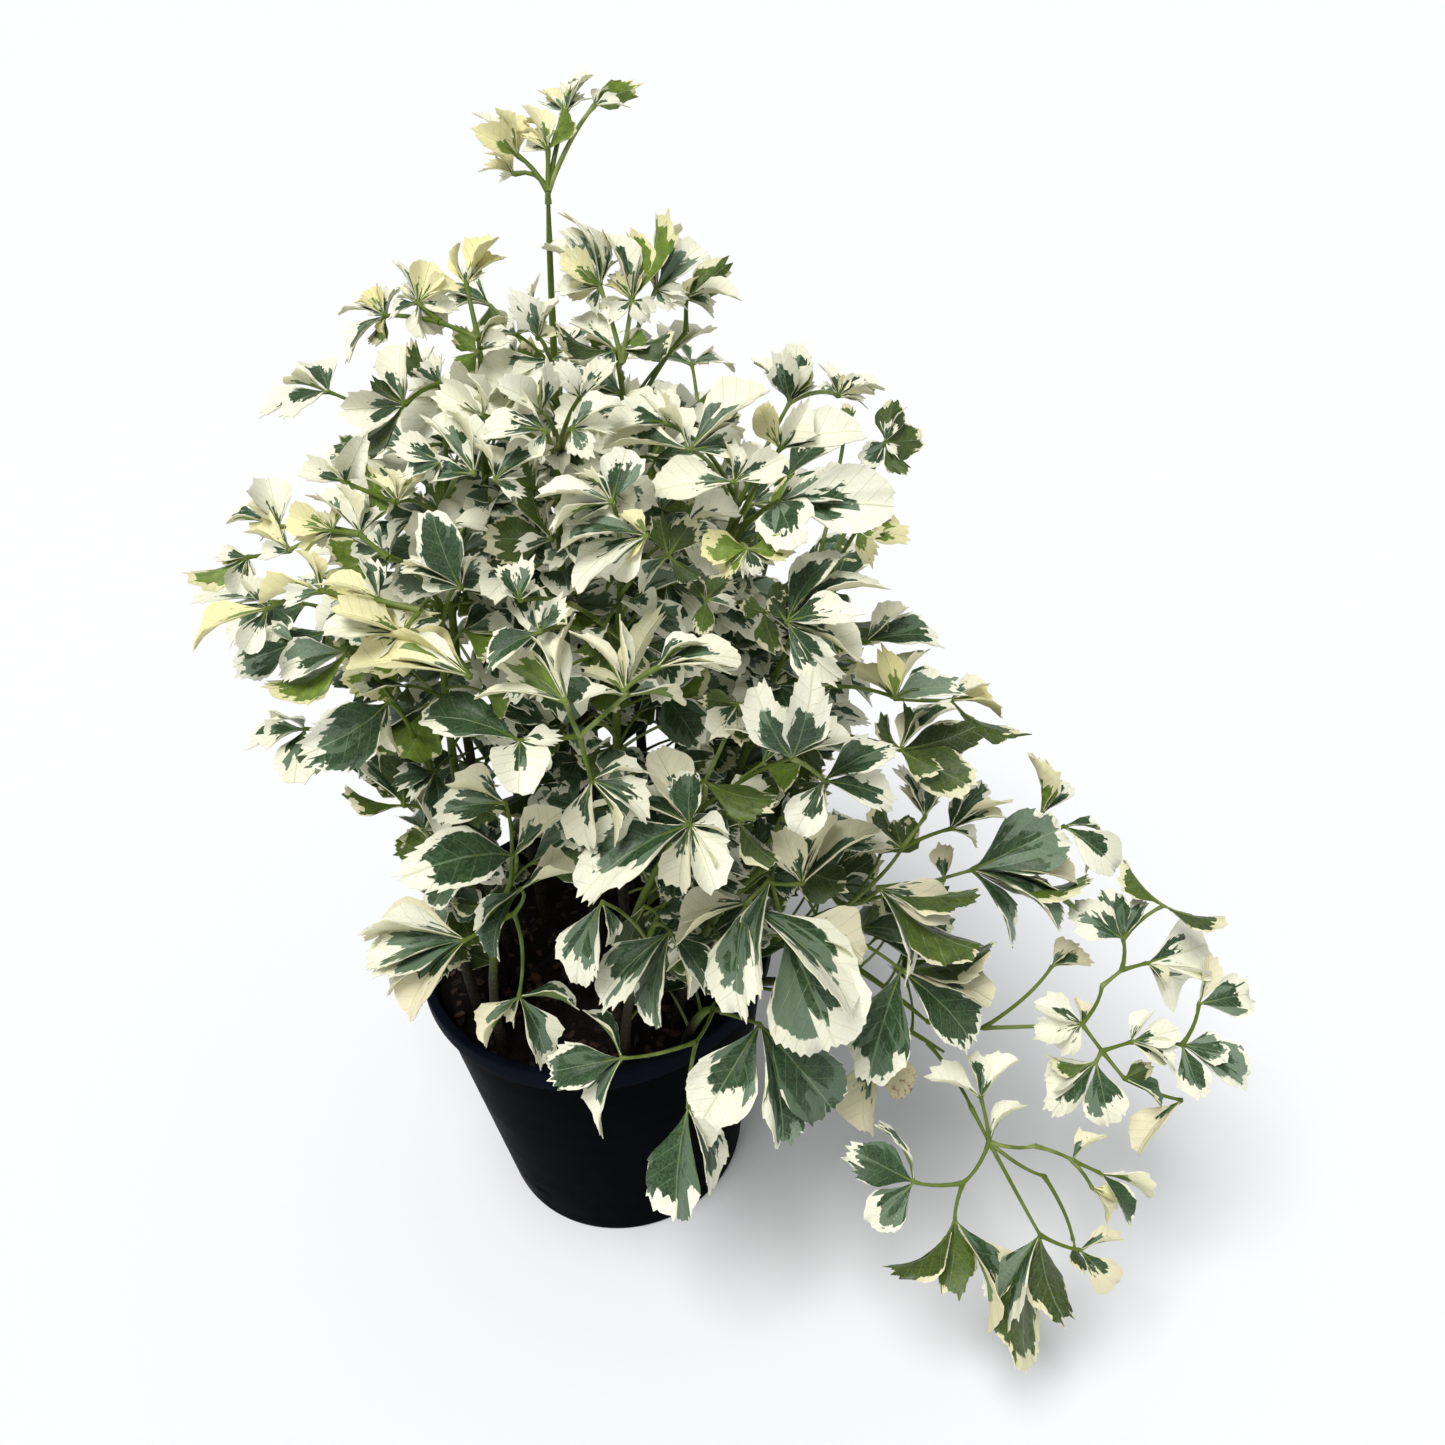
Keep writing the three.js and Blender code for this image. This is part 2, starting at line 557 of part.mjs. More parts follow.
// Where a leaflet lies: its tip, and its forward, upward and across directions.
function layBlade(leaf, bend) {
  const sideways = leaf.view.clone().cross(leaf.along).normalize();
  const tip = leaf.tip.clone()
    .addScaledVector(leaf.view, bend.push * leaf.length)
    .addScaledVector(sideways, bend.slide * leaf.length);
  const along = tip.clone().sub(leaf.hub).normalize();
  const facing = squareTo(leaf.view.clone().negate(), along).applyAxisAngle(along, leaf.turn + bend.roll);
  const up = leaf.under ? facing.negate() : facing;
  return { tip, along, up, across: up.clone().cross(along) };
}

// The blade's own points: its outline on the upper face, then on the lower one, with
// a point on the rib last in each for a big leaflet.
function bladePoints(leaf, lie, grow) {
  const length = leaf.hub.distanceTo(lie.tip);
  const outline = leaf.big ? [...bigOutline, [ribShare, 0]] : smallOutline;
  const point = ([share, out], k, way) => {
    const arch = leaf.arch * length * 4 * share * (1 - share);
    const fold = leaf.fold * Math.abs(out) * leaf.half;
    const wave = out === 0 ? 0 : leaf.wave * leaf.half * (k % 2 ? 1 : -1);
    return leaf.hub.clone()
      .addScaledVector(lie.along, share * length)
      .addScaledVector(lie.across, out * (leaf.half + grow))
      .addScaledVector(lie.up, arch + fold + wave + way * (bladeThick / 2 + grow));
  };
  return [1, -1].flatMap((way) => outline.map((row, k) => point(row, k, way)));
}

// The blade's triangles. root holds the indices of the three base points (the lowest
// one, then the others in turn), and first is the index of the blade's first point.
function bladeTriangles(leaf, root, first) {
  const rim = leaf.big ? bigOutline.length : smallOutline.length;
  const low = first + rim + (leaf.big ? 1 : 0);
  const own = Array.from({ length: rim }, (_, k) => first + k);
  const under = own.map((index) => index + low - first);
  const [keel, right, left] = root;
  const top = [left, ...own, right];
  const bottom = [keel, ...under];
  const triangles = [];
  if (leaf.big) {
    top.forEach((a, k) => triangles.push([a, top[(k + 1) % top.length], first + rim]));
    bottom.forEach((a, k) => triangles.push([bottom[(k + 1) % bottom.length], a, low + rim]));
  } else {
    smallCover.forEach((face) => triangles.push(face.map((k) => top[k])));
    smallCover.filter((face) => !face.includes(rim + 1))
      .forEach((face) => triangles.push(face.map((k) => bottom[k]).reverse()));
  }
  for (let k = 0; k < rim - 1; k += 1) {
    triangles.push([under[k], under[k + 1], own[k + 1]], [under[k], own[k + 1], own[k]]);
  }
  triangles.push([keel, under[0], own[0]], [keel, own[0], left]);
  triangles.push([under[rim - 1], keel, right], [under[rim - 1], right, own[rim - 1]]);
  return triangles;
}

// The three corners of a face in the order that bladeTriangles takes: lowest first.
function rootOrder(corners, up) {
  const heights = corners.map((corner) => corner.dot(up));
  const lowest = heights.indexOf(Math.min(...heights));
  return [0, 1, 2].map((k) => (lowest + k) % 3);
}

// The blade as a solid of its own. Its base is the face of the knuckle that it grows
// from, drawn in towards the hub by sink.
function bladeSolid(leaf, bend, grow, sink = 0) {
  const lie = layBlade(leaf, bend);
  const centre = leaf.corners.reduce((sum, corner) => sum.add(corner), vec(0, 0, 0)).divideScalar(3);
  const base = rootOrder(leaf.corners, lie.up)
    .map((k) => centre.clone().lerp(leaf.corners[k], 1 + grow).lerp(leaf.hub, sink));
  const triangles = [[0, 2, 1], ...bladeTriangles(leaf, [0, 1, 2], 3)];
  return toSolid(geometryFrom([...base, ...bladePoints(leaf, lie, grow)], triangles));
}

// A leaflet from its hub and tip, with the direction that it is seen along. One that
// looks too short for its width slants away from the viewer, and one that looks too
// narrow is turned about its own axis.
function makeLeaf(hub, seenTip, width, view, look, seed) {
  const seen = hub.distanceTo(seenTip);
  const length = Math.max(seen, lengthPerWidth * width);
  const fullWidth = Math.max(width, widthPerLength * length);
  const outward = vec(hub.x, hub.y, -0.3 * Math.hypot(hub.x, hub.y));
  const slant = Math.sqrt(length * length - seen * seen);
  const tip = seenTip.clone().addScaledVector(view, outward.dot(view) > 0 ? slant : -slant);
  const along = tip.clone().sub(hub).normalize();
  const turn = Math.acos(Math.min(1, width / fullWidth));
  return {
    hub,
    tip,
    view,
    along,
    length,
    half: fullWidth / 2,
    big: fullWidth > bigLeaf,
    turn: view.clone().cross(along).z > 0 ? turn : -turn,
    look,
    under: look === "u" || look === "d",
    arch: draw(archRange, seed, trait.arch),
    fold: draw(foldRange, seed, trait.fold),
    wave: draw(waveRange, seed, trait.wave),
  };
}

// A knuckle is an octahedron with one corner axis to each of three sides and a face
// square to the stalk. Each face is three corner numbers in turn, seen from outside.
// The stalk comes in at the last face, and what grows on takes one of the others.
const knuckleFaces = [
  [1, 1, 1], [-1, 1, 1], [1, -1, 1], [1, 1, -1], [1, -1, -1], [-1, 1, -1], [-1, -1, 1], [-1, -1, -1],
].map((signs) => {
  const corners = signs.map((sign, axis) => axis + (sign > 0 ? 0 : 3));
  return signs[0] * signs[1] * signs[2] > 0 ? corners : [corners[0], corners[2], corners[1]];
});
const backFace = 7;
const twists = [0, 20, 40, 60, 80, 100].map(THREE.MathUtils.degToRad);

function knuckleCorners(node, twist) {
  const side = squareTo(vec(0.3, -0.7, 0.64), node.end).applyAxisAngle(node.end, twist);
  const axes = ringAt(vec(0, 0, 0), node.end, side, Math.sqrt(2 / 3), 3)
    .map((arm) => arm.addScaledVector(node.end, Math.sqrt(1 / 3)));
  return [1, -1].flatMap((way) => (
    axes.map((axis) => node.hub.clone().addScaledVector(axis, way * node.radius))
  ));
}

function faceNormal(corners, face) {
  const [a, b, c] = face.map((k) => corners[k]);
  return b.clone().sub(a).cross(c.clone().sub(a)).normalize();
}

// The best share-out of the faces among what grows from a knuckle: the least sum of
// costs over every way to share them.
function shareFaces(costs, used, child) {
  if (child === costs.length) {
    return { cost: 0, faces: [] };
  }
  let best = { cost: Infinity, faces: [] };
  for (let face = 0; face < backFace; face += 1) {
    if (used.includes(face)) {
      continue;
    }
    const rest = shareFaces(costs, [...used, face], child + 1);
    const cost = costs[child][face] + rest.cost;
    if (cost < best.cost) {
      best = { cost, faces: [face, ...rest.faces] };
    }
  }
  return best;
}

// Turns a node's knuckle to suit what grows from it, and gives each its face.
function shapeKnuckle(node) {
  let best = { cost: Infinity };
  twists.forEach((twist) => {
    const corners = knuckleCorners(node, twist);
    const normals = knuckleFaces.map((face) => faceNormal(corners, face));
    const costs = node.children.map((child) => normals.map((normal) => 1 - child.along.dot(normal)));
    const found = shareFaces(costs, [], 0);
    if (found.cost < best.cost) {
      best = { ...found, corners, normals };
    }
  });
  node.knuckle = best.corners;
  node.children.forEach((child, k) => {
    child.face = best.faces[k];
    child.normal = best.normals[child.face];
    child.corners = knuckleFaces[child.face].map((corner) => best.corners[corner]);
  });
}

// What has been placed so far, with its box, for the test of what is placed next.
const placed = [];

function boxOf(solid) {
  const box = solid.boundingBox();
  return new THREE.Box3(vec(...box.min), vec(...box.max));
}

function place(solid, stem, tree) {
  placed.push({ solid, stem, tree, box: boxOf(solid) });
}

// Whether a solid is clear of all that has been placed and that counts.
function isClear(solid, counts) {
  const box = boxOf(solid);
  return placed.every((other) => {
    if (!other.box.intersectsBox(box) || !counts(other)) {
      return true;
    }
    const common = solid.intersect(other.solid);
    const clear = common.volume() < 1e-4;
    common.delete();
    return clear;
  });
}

function bezier(a, b, c, count) {
  return new THREE.QuadraticBezierCurve3(a, b, c).getPoints(count);
}

// The pot: a turned profile, closed on the axis, with holes through its floor.
function potSolid() {
  const profile = [
    [0, 0],
    [baseRadius, 0],
    [rimRadius - lipStep, lipLow - lipRound],
    [rimRadius - lipRound / 2, lipLow],
    [rimRadius, lipLow + lipRound],
    [rimRadius, potHeight - lipRound],
    [rimRadius - lipRound, potHeight],
    [rimRadius - lipWidth + lipRound / 2, potHeight],
    [rimRadius - lipWidth, potHeight - lipRound],
    [rimRadius - lipStep - potWall, lipLow - potWall],
    [baseRadius - potWall, potFloor],
    [0, potFloor],
  ].map(([r, z]) => new THREE.Vector2(r, z));
  let solid = toSolid(new THREE.LatheGeometry(profile, potSides).rotateX(Math.PI / 2));
  for (let k = 0; k < drainCount; k += 1) {
    const angle = (2 * Math.PI * k) / drainCount;
    const drill = new THREE.CylinderGeometry(drainRadius, drainRadius, 4 * potFloor, drainSides)
      .rotateX(Math.PI / 2)
      .translate(drainRing * Math.cos(angle), drainRing * Math.sin(angle), 0);
    solid = solid.subtract(toSolid(drill));
  }
  return solid;
}

// The height of the soil's top at a place: two crossed waves, and lower at the wall.
function soilHeight(x, y) {
  const waves = Math.sin(x * 0.11 + 0.6) * Math.cos(y * 0.13) + 0.6 * Math.sin(x * 0.27 - y * 0.21);
  return soilTop + soilLump * waves - soilDish * (Math.hypot(x, y) / rimRadius) ** 2;
}

// The radius that clears the pot's wall at a height, measured to the wall's flats.
function soilRadius(z) {
  const share = (z - potFloor) / (lipLow - potWall - potFloor);
  const wall = between(baseRadius, rimRadius - lipStep, share) - potWall;
  return wall * Math.cos(Math.PI / potSides) - gap;
}

// The soil: rings of points over its lumpy top, then its side and its flat underside.
function soilGeometry() {
  const underside = potFloor + gap;
  const turns = Array.from({ length: soilSides }, (_, k) => (2 * Math.PI * k) / soilSides);
  const points = [vec(0, 0, soilHeight(0, 0))];
  for (let ring = 1; ring <= soilRings; ring += 1) {
    const radius = (soilRadius(soilEdge) * ring) / soilRings;
    turns.forEach((angle) => {
      const [x, y] = [radius * Math.cos(angle), radius * Math.sin(angle)];
      points.push(vec(x, y, ring === soilRings ? soilEdge : soilHeight(x, y)));
    });
  }
  const footRadius = soilRadius(underside);
  turns.forEach((angle) => {
    points.push(vec(footRadius * Math.cos(angle), footRadius * Math.sin(angle), underside));
  });
  points.push(vec(0, 0, underside));
  const ringOf = (ring) => turns.map((_, k) => 1 + (ring - 1) * soilSides + k);
  const triangles = ringOf(1).map((a, k) => [0, a, ringOf(1)[(k + 1) % soilSides]]);
  for (let ring = 1; ring <= soilRings; ring += 1) {
    triangles.push(...ringWalls(ringOf(ring + 1), ringOf(ring)));
  }
  const foot = ringOf(soilRings + 1);
  triangles.push(...foot.map((a, k) => [points.length - 1, foot[(k + 1) % soilSides], a]));
  return geometryFrom(points, triangles);
}

// The cane's line: up out of the soil, then over to its top. Its knee is lifted, and
// moved sideways, where the easy line isn't clear.
function canePath(foot, top, lift, sway) {
  const start = vec(foot[0], foot[1], soilTop - rootDepth);
  const aside = vec(start.y - top.y, top.x - start.x, 0).normalize();
  const knee = vec(foot[0] * kneeSpread, foot[1] * kneeSpread, between(start.z, top.z, kneeHeight) + lift)
    .addScaledVector(aside, sway);
  return bezier(start, knee, top, caneSteps);
}

function caneSolid(path, grow) {
  const radii = path.map((_, k) => between(caneFoot, caneTip, k / caneSteps) + grow);
  return toSolid(stemGeometry(path, radii, caneSides));
}

// The place on the cane that a frond's stalk springs from: at an easy angle, and off
// the places that other stalks have taken.
function caneNode(cane, hub) {
  let best = { cost: Infinity };
  for (let k = 0; k <= nodeTries; k += 1) {
    const share = between(nodeLow, nodeHigh, k / nodeTries);
    const start = pathPoint(cane.path, share);
    const along = pathPoint(cane.path, 1).sub(pathPoint(cane.path, share)).normalize();
    const toHub = hub.clone().sub(start);
    const reach = Math.max(toHub.length(), 1);
    const crowd = cane.taken
      .reduce((sum, other) => sum + Math.max(0, 1 - start.distanceTo(other) / nodeSpacing), 0);
    const slant = Math.abs(toHub.dot(along) / reach - nodeAngleCosine);
    const cost = reach * (1 + nodeAngleCost * slant) + nodeCrowdCost * crowd;
    if (cost < best.cost) {
      best = { cost, hub: start, end: along };
    }
  }
  cane.taken.push(best.hub);
  return best;
}

// A point on a path of equal steps, at a share of its count of steps.
function pathPoint(path, share) {
  const step = Math.min(share, 1) * (path.length - 1);
  const low = Math.min(Math.floor(step), path.length - 2);
  return path[low].clone().lerp(path[low + 1], step - low);
}

// Middle points of a stalk's curve to try: the easy one, then wider and wider ones.
function stalkMiddles(start, along, end, seed) {
  const reach = start.distanceTo(end);
  const easy = start.clone().lerp(end, 0.5).addScaledVector(along, reach * stalkRise);
  return Array.from({ length: stalkTries }, (_, attempt) => {
    const swing = reach * stalkSwing * attempt;
    const angle = chance(seed, trait.swing + attempt) * 2 * Math.PI;
    const lift = chance(seed, trait.lift + attempt) - 0.4;
    return easy.clone().add(vec(Math.cos(angle), Math.sin(angle), lift).multiplyScalar(swing));
  });
}

function stalkRadius(share) {
  return between(stalkBase, stalkTip, share);
}

function stalkSolid(path, grow) {
  const radii = path.map((_, k) => stalkRadius(k / (path.length - 1)) + grow);
  return toSolid(stemGeometry(path, radii, 3));
}

const pot = potSolid();
const soilBody = toSolid(soilGeometry());
const canes = new Map();
const trees = [];
const leaves = [];
let seed = 1;

// Adds a cane. Canes come first, so that stalks and leaflets can bend round them.
function addCane(name, foot, top) {
  const path = kneeLifts.flatMap((lift) => kneeSways.map((sway) => canePath(foot, top, lift, sway)))
    .find((line) => isClear(caneSolid(line, clearance), (other) => other.stem !== "soil"));
  const solid = caneSolid(path, 0);
  canes.set(name, { path, solid, taken: [] });
  place(solid, name, -1);
}

// Adds a frond's stalk from the cane or from another frond, clear of other stems.
function addStalk(name, parent, hub) {
  seed += 1;
  const from = parent ?? caneNode(canes.get(name), hub);
  const reach = from.hub.distanceTo(hub);
  const count = 1 + (reach > shortStalk) + (reach > longStalk);
  const path = stalkMiddles(from.hub, from.end, hub, seed)
    .map((middle, attempt) => bezier(from.hub, middle, hub, attempt ? Math.max(count, 2) : count))
    .find((line) => {
      const fat = stalkSolid(line, clearance);
      const clear = isClear(fat, (other) => other.stem !== name);
      fat.delete();
      return clear;
    });
  const node = {
    stalk: true,
    stem: name,
    tree: parent ? parent.tree : trees.length,
    hub,
    path,
    along: path[1].clone().sub(path[0]).normalize(),
    end: hub.clone().sub(path[path.length - 2]).normalize(),
    children: [],
  };
  if (parent) {
    parent.children.push(node);
  } else {
    trees.push(node);
  }
  place(stalkSolid(path, 0), name, node.tree);
  return node;
}

function addLeaf(node, leaf) {
  if (leaf.length > leastLeaf) {
    const full = { ...leaf, stem: node.stem, tree: node.tree };
    node.children.push(full);
    leaves.push(full);
  }
}

// Gives every node of a stem its knuckle, once all that grows from it is known.
function addKnuckles(nodes) {
  nodes.forEach((node) => {
    const longest = Math.max(...node.children.map((child) => (child.stalk ? 0 : child.length)));
    node.radius = THREE.MathUtils.clamp(longest * knuckleShare, knuckleLeast, knuckleMost);
    shapeKnuckle(node);
    place(toSolid(geometryFrom(node.knuckle, knuckleFaces)), node.stem, node.tree);
  });
}

place(pot, "pot", -1);
place(soilBody, "soil", -1);
Object.entries(stems).forEach(([name, { foot, top }]) => {
  addCane(name, foot, photoPoint(top[0], top[1], crownDistance(top[0], top[1]) + top[2]));
});
Object.entries(rearStems).forEach(([name, { foot, top }]) => addCane(name, foot, vec(...top)));

Object.entries(stems).forEach(([name, stem]) => {
  const nodes = [];
  stem.fronds.forEach(([parent, x, y, behind, rows]) => {
    const distance = crownDistance(x, y) + behind;
    const node = addStalk(name, parent < 0 ? null : nodes[parent], photoPoint(x, y, distance));
    rows.forEach(([tipX, tipY, wide, look]) => {
      seed += 1;
      const tip = photoPoint(tipX, tipY, distance);
      const view = tip.clone().sub(photoEye).normalize();
      addLeaf(node, makeLeaf(node.hub, tip, (wide * distance) / photoFocal, view, look, seed));
    });
    nodes.push(node);
  });
  addKnuckles(nodes);
});

// Rear fronds turn round their cane by the golden angle, within a half turn of the
// way that it leans, and their leaflets spread in a fan.
Object.keys(rearStems).forEach((name) => {
  const { path } = canes.get(name);
  const lean = Math.atan2(path[caneSteps].y, path[caneSteps].x);
  const nodes = [];
  for (let k = 0; k < rearFronds; k += 1) {
    const from = pathPoint(path, between(rearLow, 1, k / (rearFronds - 1)));
    const turn = lean + Math.sin(k * goldenAngle) * rearSpread;
    const out = vec(Math.cos(turn), Math.sin(turn), 0).multiplyScalar(draw(rearReach, seed, trait.reach));
    const hub = from.add(out).add(vec(0, 0, draw(rearRise, seed, trait.rise)));
    const node = addStalk(name, null, hub);
    for (let j = 0; j < rearLeaves; j += 1) {
      seed += 1;
      const fan = turn + (j - (rearLeaves - 1) / 2) * rearFan;
      const along = vec(Math.cos(fan), Math.sin(fan), draw(rearDip, seed, trait.dip)).normalize();
      const length = draw(rearLength, seed, trait.length);
      const tip = hub.clone().addScaledVector(along, length);
      const view = vec(-Math.cos(fan), -Math.sin(fan), -rearViewDrop).normalize();
      addLeaf(node, makeLeaf(hub, tip, length * rearWidth, view, "m", seed));
    }
    nodes.push(node);
  }
  addKnuckles(nodes);
});

// Leaflets, largest first: the least bend that is clear of everything. Failing that, a
// longer leaflet is only kept clear of the other stems, and is fused into its own.
leaves.sort((one, other) => other.half - one.half).forEach((leaf) => {
  const joins = (bend) => layBlade(leaf, bend).along.dot(leaf.normal) > 0.1;
  const clears = (bend, grow, counts) => {
    const solid = bladeSolid(leaf, bend, grow);
    const clear = isClear(solid, counts);
    solid.delete();
    return clear;
  };
  const others = (other) => other.stem !== leaf.stem;
  const sameStem = (other) => other.stem === leaf.stem;
  const sameTree = (other) => other.tree === leaf.tree;
  const grows = (own) => bends.find((bend) => (
    joins(bend) && clears(bend, 0, own) && clears(bend, clearance, others)
  ));
  leaf.bend = grows(sameStem) ?? grows(sameTree);
  if (!leaf.bend && leaf.length > leastFused) {
    leaf.bend = bends.find((bend) => clears(bend, clearance, others));
    leaf.fused = true;
  }
  if (leaf.bend) {
    place(bladeSolid(leaf, leaf.bend, 0), leaf.stem, leaf.tree);
  }
});

// Grows a stalk, its knuckle and all that springs from it, as one closed skin from
// the loop of three points that the stalk starts at.
function growNode(node, start, points, triangles) {
  const count = node.path.length - 1;
  const rings = [];
  let side = vec(...firstSide);
  if (start) {
    rings.push(start);
    side = points[start[0]].clone().sub(node.path[0]);
  }
  for (let k = start ? 1 : 0; k < count; k += 1) {
    const along = node.path[k + 1].clone().sub(node.path[Math.max(0, k - 1)]).normalize();
    side = squareTo(side, along);
    rings.push([0, 1, 2].map((turn) => points.length + turn));
    points.push(...ringAt(node.path[k], along, side, stalkRadius(k / count), 3));
  }
  if (!start) {
    triangles.push([...rings[0]].reverse());
  }
  const corner = points.length;
  points.push(...node.knuckle);
  const loop = knuckleFaces[backFace].map((k) => corner + k).reverse();
  const last = rings[rings.length - 1];
  const stretch = (ring) => ring
    .reduce((sum, index, k) => sum + points[index].distanceToSquared(points[last[k]]), 0);
  const [nearest] = [0, 1, 2]
    .map((shift) => loop.map((_, k) => loop[(k + shift) % 3]))
    .sort((one, other) => stretch(one) - stretch(other));
  rings.push(nearest);
  rings.slice(1).forEach((ring, k) => triangles.push(...ringWalls(rings[k], ring)));
  const grown = node.children.filter((child) => child.stalk || (child.bend && !child.fused));
  const bare = knuckleFaces.filter((_, k) => k !== backFace && !grown.some((child) => child.face === k));
  bare.forEach((face) => triangles.push(face.map((k) => corner + k)));
  grown.forEach((child) => {
    const face = knuckleFaces[child.face].map((k) => corner + k);
    if (child.stalk) {
      growNode(child, face, points, triangles);
      return;
    }
    const lie = layBlade(child, child.bend);
    const root = rootOrder(child.corners, lie.up).map((k) => face[k]);
    triangles.push(...bladeTriangles(child, root, points.length));
    points.push(...bladePoints(child, lie, 0));
  });
}

// A stem as one solid: its cane, its fronds, and the leaflets that are fused into them.
// A hollow that the fusing seals is filled, and a loose scrap is left out.
function stemSolid(name) {
  const parts = [canes.get(name).solid];
  trees.filter((tree) => tree.stem === name).forEach((tree) => {
    const points = [];
    const triangles = [];
    growNode(tree, null, points, triangles);
    parts.push(toSolid(geometryFrom(points, triangles)));
  });
  leaves.filter((leaf) => leaf.stem === name && leaf.fused && leaf.bend)
    .forEach((leaf) => parts.push(bladeSolid(leaf, leaf.bend, 0, fusedSink)));
  const [largest] = wasm.Manifold.union(parts).decompose()
    .sort((one, other) => other.volume() - one.volume());
  return largest;
}

// The mean colour of a stem's leaflets, by their areas.
function stemColour(name) {
  const own = leaves.filter((leaf) => leaf.stem === name);
  const whole = own.reduce((sum, leaf) => sum + leaf.length * leaf.half, 0);
  return own.reduce((sum, leaf) => {
    const share = (leaf.length * leaf.half) / whole;
    return sum.add(new THREE.Color(lookColours[leaf.look]).multiplyScalar(share));
  }, new THREE.Color(0));
}

const group = new THREE.Group();

function addMesh(name, solid, finish) {
  const mesh = new THREE.Mesh(toGeometry(solid), new THREE.MeshStandardMaterial(finish));
  mesh.name = name;
  group.add(mesh);
}

// Plain holes in the soil, a little wider than the canes that stand in them.
let soil = soilBody;
canes.forEach(({ path }) => {
  const below = path[0].clone().add(vec(0, 0, -gap));
  soil = soil.subtract(caneSolid([below, ...path.slice(1)], holeGap));
});

addMesh("pot", pot, potFinish);
addMesh("soil", soil, soilFinish);
canes.forEach((_, name) => {
  addMesh(name, stemSolid(name), { color: stemColour(name), roughness: leafRoughness, metalness: 0 });
});

export default group;
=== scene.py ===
"""Potted snowflake aralia: the looks of a bushy variegated plant in a black nursery pot.

Sizes are in millimetres until a mesh is made, and Blender's are in metres. The leafy
stems are laid out again by the rules of the solids, and each leaflet is found in the
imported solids, so that the fine leaves lie where the plain ones do.
"""
import math
from types import SimpleNamespace

import bpy
import numpy as np
from mathutils import Matrix, Vector, kdtree


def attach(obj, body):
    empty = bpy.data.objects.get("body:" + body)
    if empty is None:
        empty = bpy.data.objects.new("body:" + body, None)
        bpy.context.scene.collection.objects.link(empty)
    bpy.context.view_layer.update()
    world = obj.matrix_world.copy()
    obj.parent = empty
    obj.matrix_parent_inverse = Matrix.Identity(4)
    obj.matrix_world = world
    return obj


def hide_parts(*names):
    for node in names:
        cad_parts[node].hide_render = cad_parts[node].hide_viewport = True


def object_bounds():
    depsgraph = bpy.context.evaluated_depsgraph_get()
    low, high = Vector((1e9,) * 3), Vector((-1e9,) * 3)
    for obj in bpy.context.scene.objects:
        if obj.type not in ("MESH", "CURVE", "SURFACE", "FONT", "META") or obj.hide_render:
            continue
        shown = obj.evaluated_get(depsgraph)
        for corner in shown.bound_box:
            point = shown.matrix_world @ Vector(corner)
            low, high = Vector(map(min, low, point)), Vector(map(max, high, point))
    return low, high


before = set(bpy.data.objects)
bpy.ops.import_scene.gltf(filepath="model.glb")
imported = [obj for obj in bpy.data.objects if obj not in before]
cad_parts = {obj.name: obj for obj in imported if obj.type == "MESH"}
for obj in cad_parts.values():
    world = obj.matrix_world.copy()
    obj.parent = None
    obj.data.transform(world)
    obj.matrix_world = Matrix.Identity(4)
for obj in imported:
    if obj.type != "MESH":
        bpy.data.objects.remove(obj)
CAD_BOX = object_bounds()

# The camera stands where the photo was taken from: in front of the pot, a little to
# its right, and looking down on it. A place in the photo is a pixel of its square
# frame, with its distance along the view.
EYE = Vector((66.0, -452.0, 636.0))
VIEW_PITCH = math.radians(38.7)
VIEW_ROLL = math.radians(3.82)
PHOTO_SIDE = 1445
PHOTO_FOCAL = 1392
NEAREST = 0.01

view_ahead = Vector((0, math.cos(VIEW_PITCH), -math.sin(VIEW_PITCH)))
view_up = Vector((0, math.sin(VIEW_PITCH), math.cos(VIEW_PITCH)))
view_up = Matrix.Rotation(VIEW_ROLL, 3, view_ahead) @ view_up
view_right = view_ahead.cross(view_up)


def add_object(name, data):
    """An object that holds the data, in the scene."""
    made = bpy.data.objects.new(name, data)
    bpy.context.scene.collection.objects.link(made)
    return made


camera_data = bpy.data.cameras.new("camera")
camera_data.sensor_fit = "HORIZONTAL"
camera_data.lens = camera_data.sensor_width * PHOTO_FOCAL / PHOTO_SIDE
camera_data.clip_start = NEAREST
camera = add_object("camera", camera_data)
camera.matrix_world = Matrix((view_right, view_up, -view_ahead)).transposed().to_4x4()
camera.location = EYE / 1000
bpy.context.scene.camera = camera


def photo_point(x, y, distance):
    """The place at a pixel: the eye, plus distance along the pixel's own ray."""
    half = PHOTO_SIDE / 2
    ray = view_ahead + view_right * ((x - half) / PHOTO_FOCAL) + view_up * ((half - y) / PHOTO_FOCAL)
    return EYE + ray * distance


# The studio: a plain pale floor under a pale sky, and one wide soft lamp that shines
# down on the pot from the front left.
SKY_LOW = (0.72, 0.73, 0.72, 1.0)
SKY_HIGH = (0.38, 0.39, 0.38, 1.0)
SKY_BAND = 0.36
FLOOR_COLOUR = (0.79, 0.795, 0.83, 1.0)
FLOOR_HALF = 40.0
LAMP_PLACE = Vector((-0.5, -0.7, 2.2))
LAMP_SPREAD = math.radians(28)
LAMP_POWER = 2.95
LAMP_COLOUR = (1.0, 0.99, 0.97)


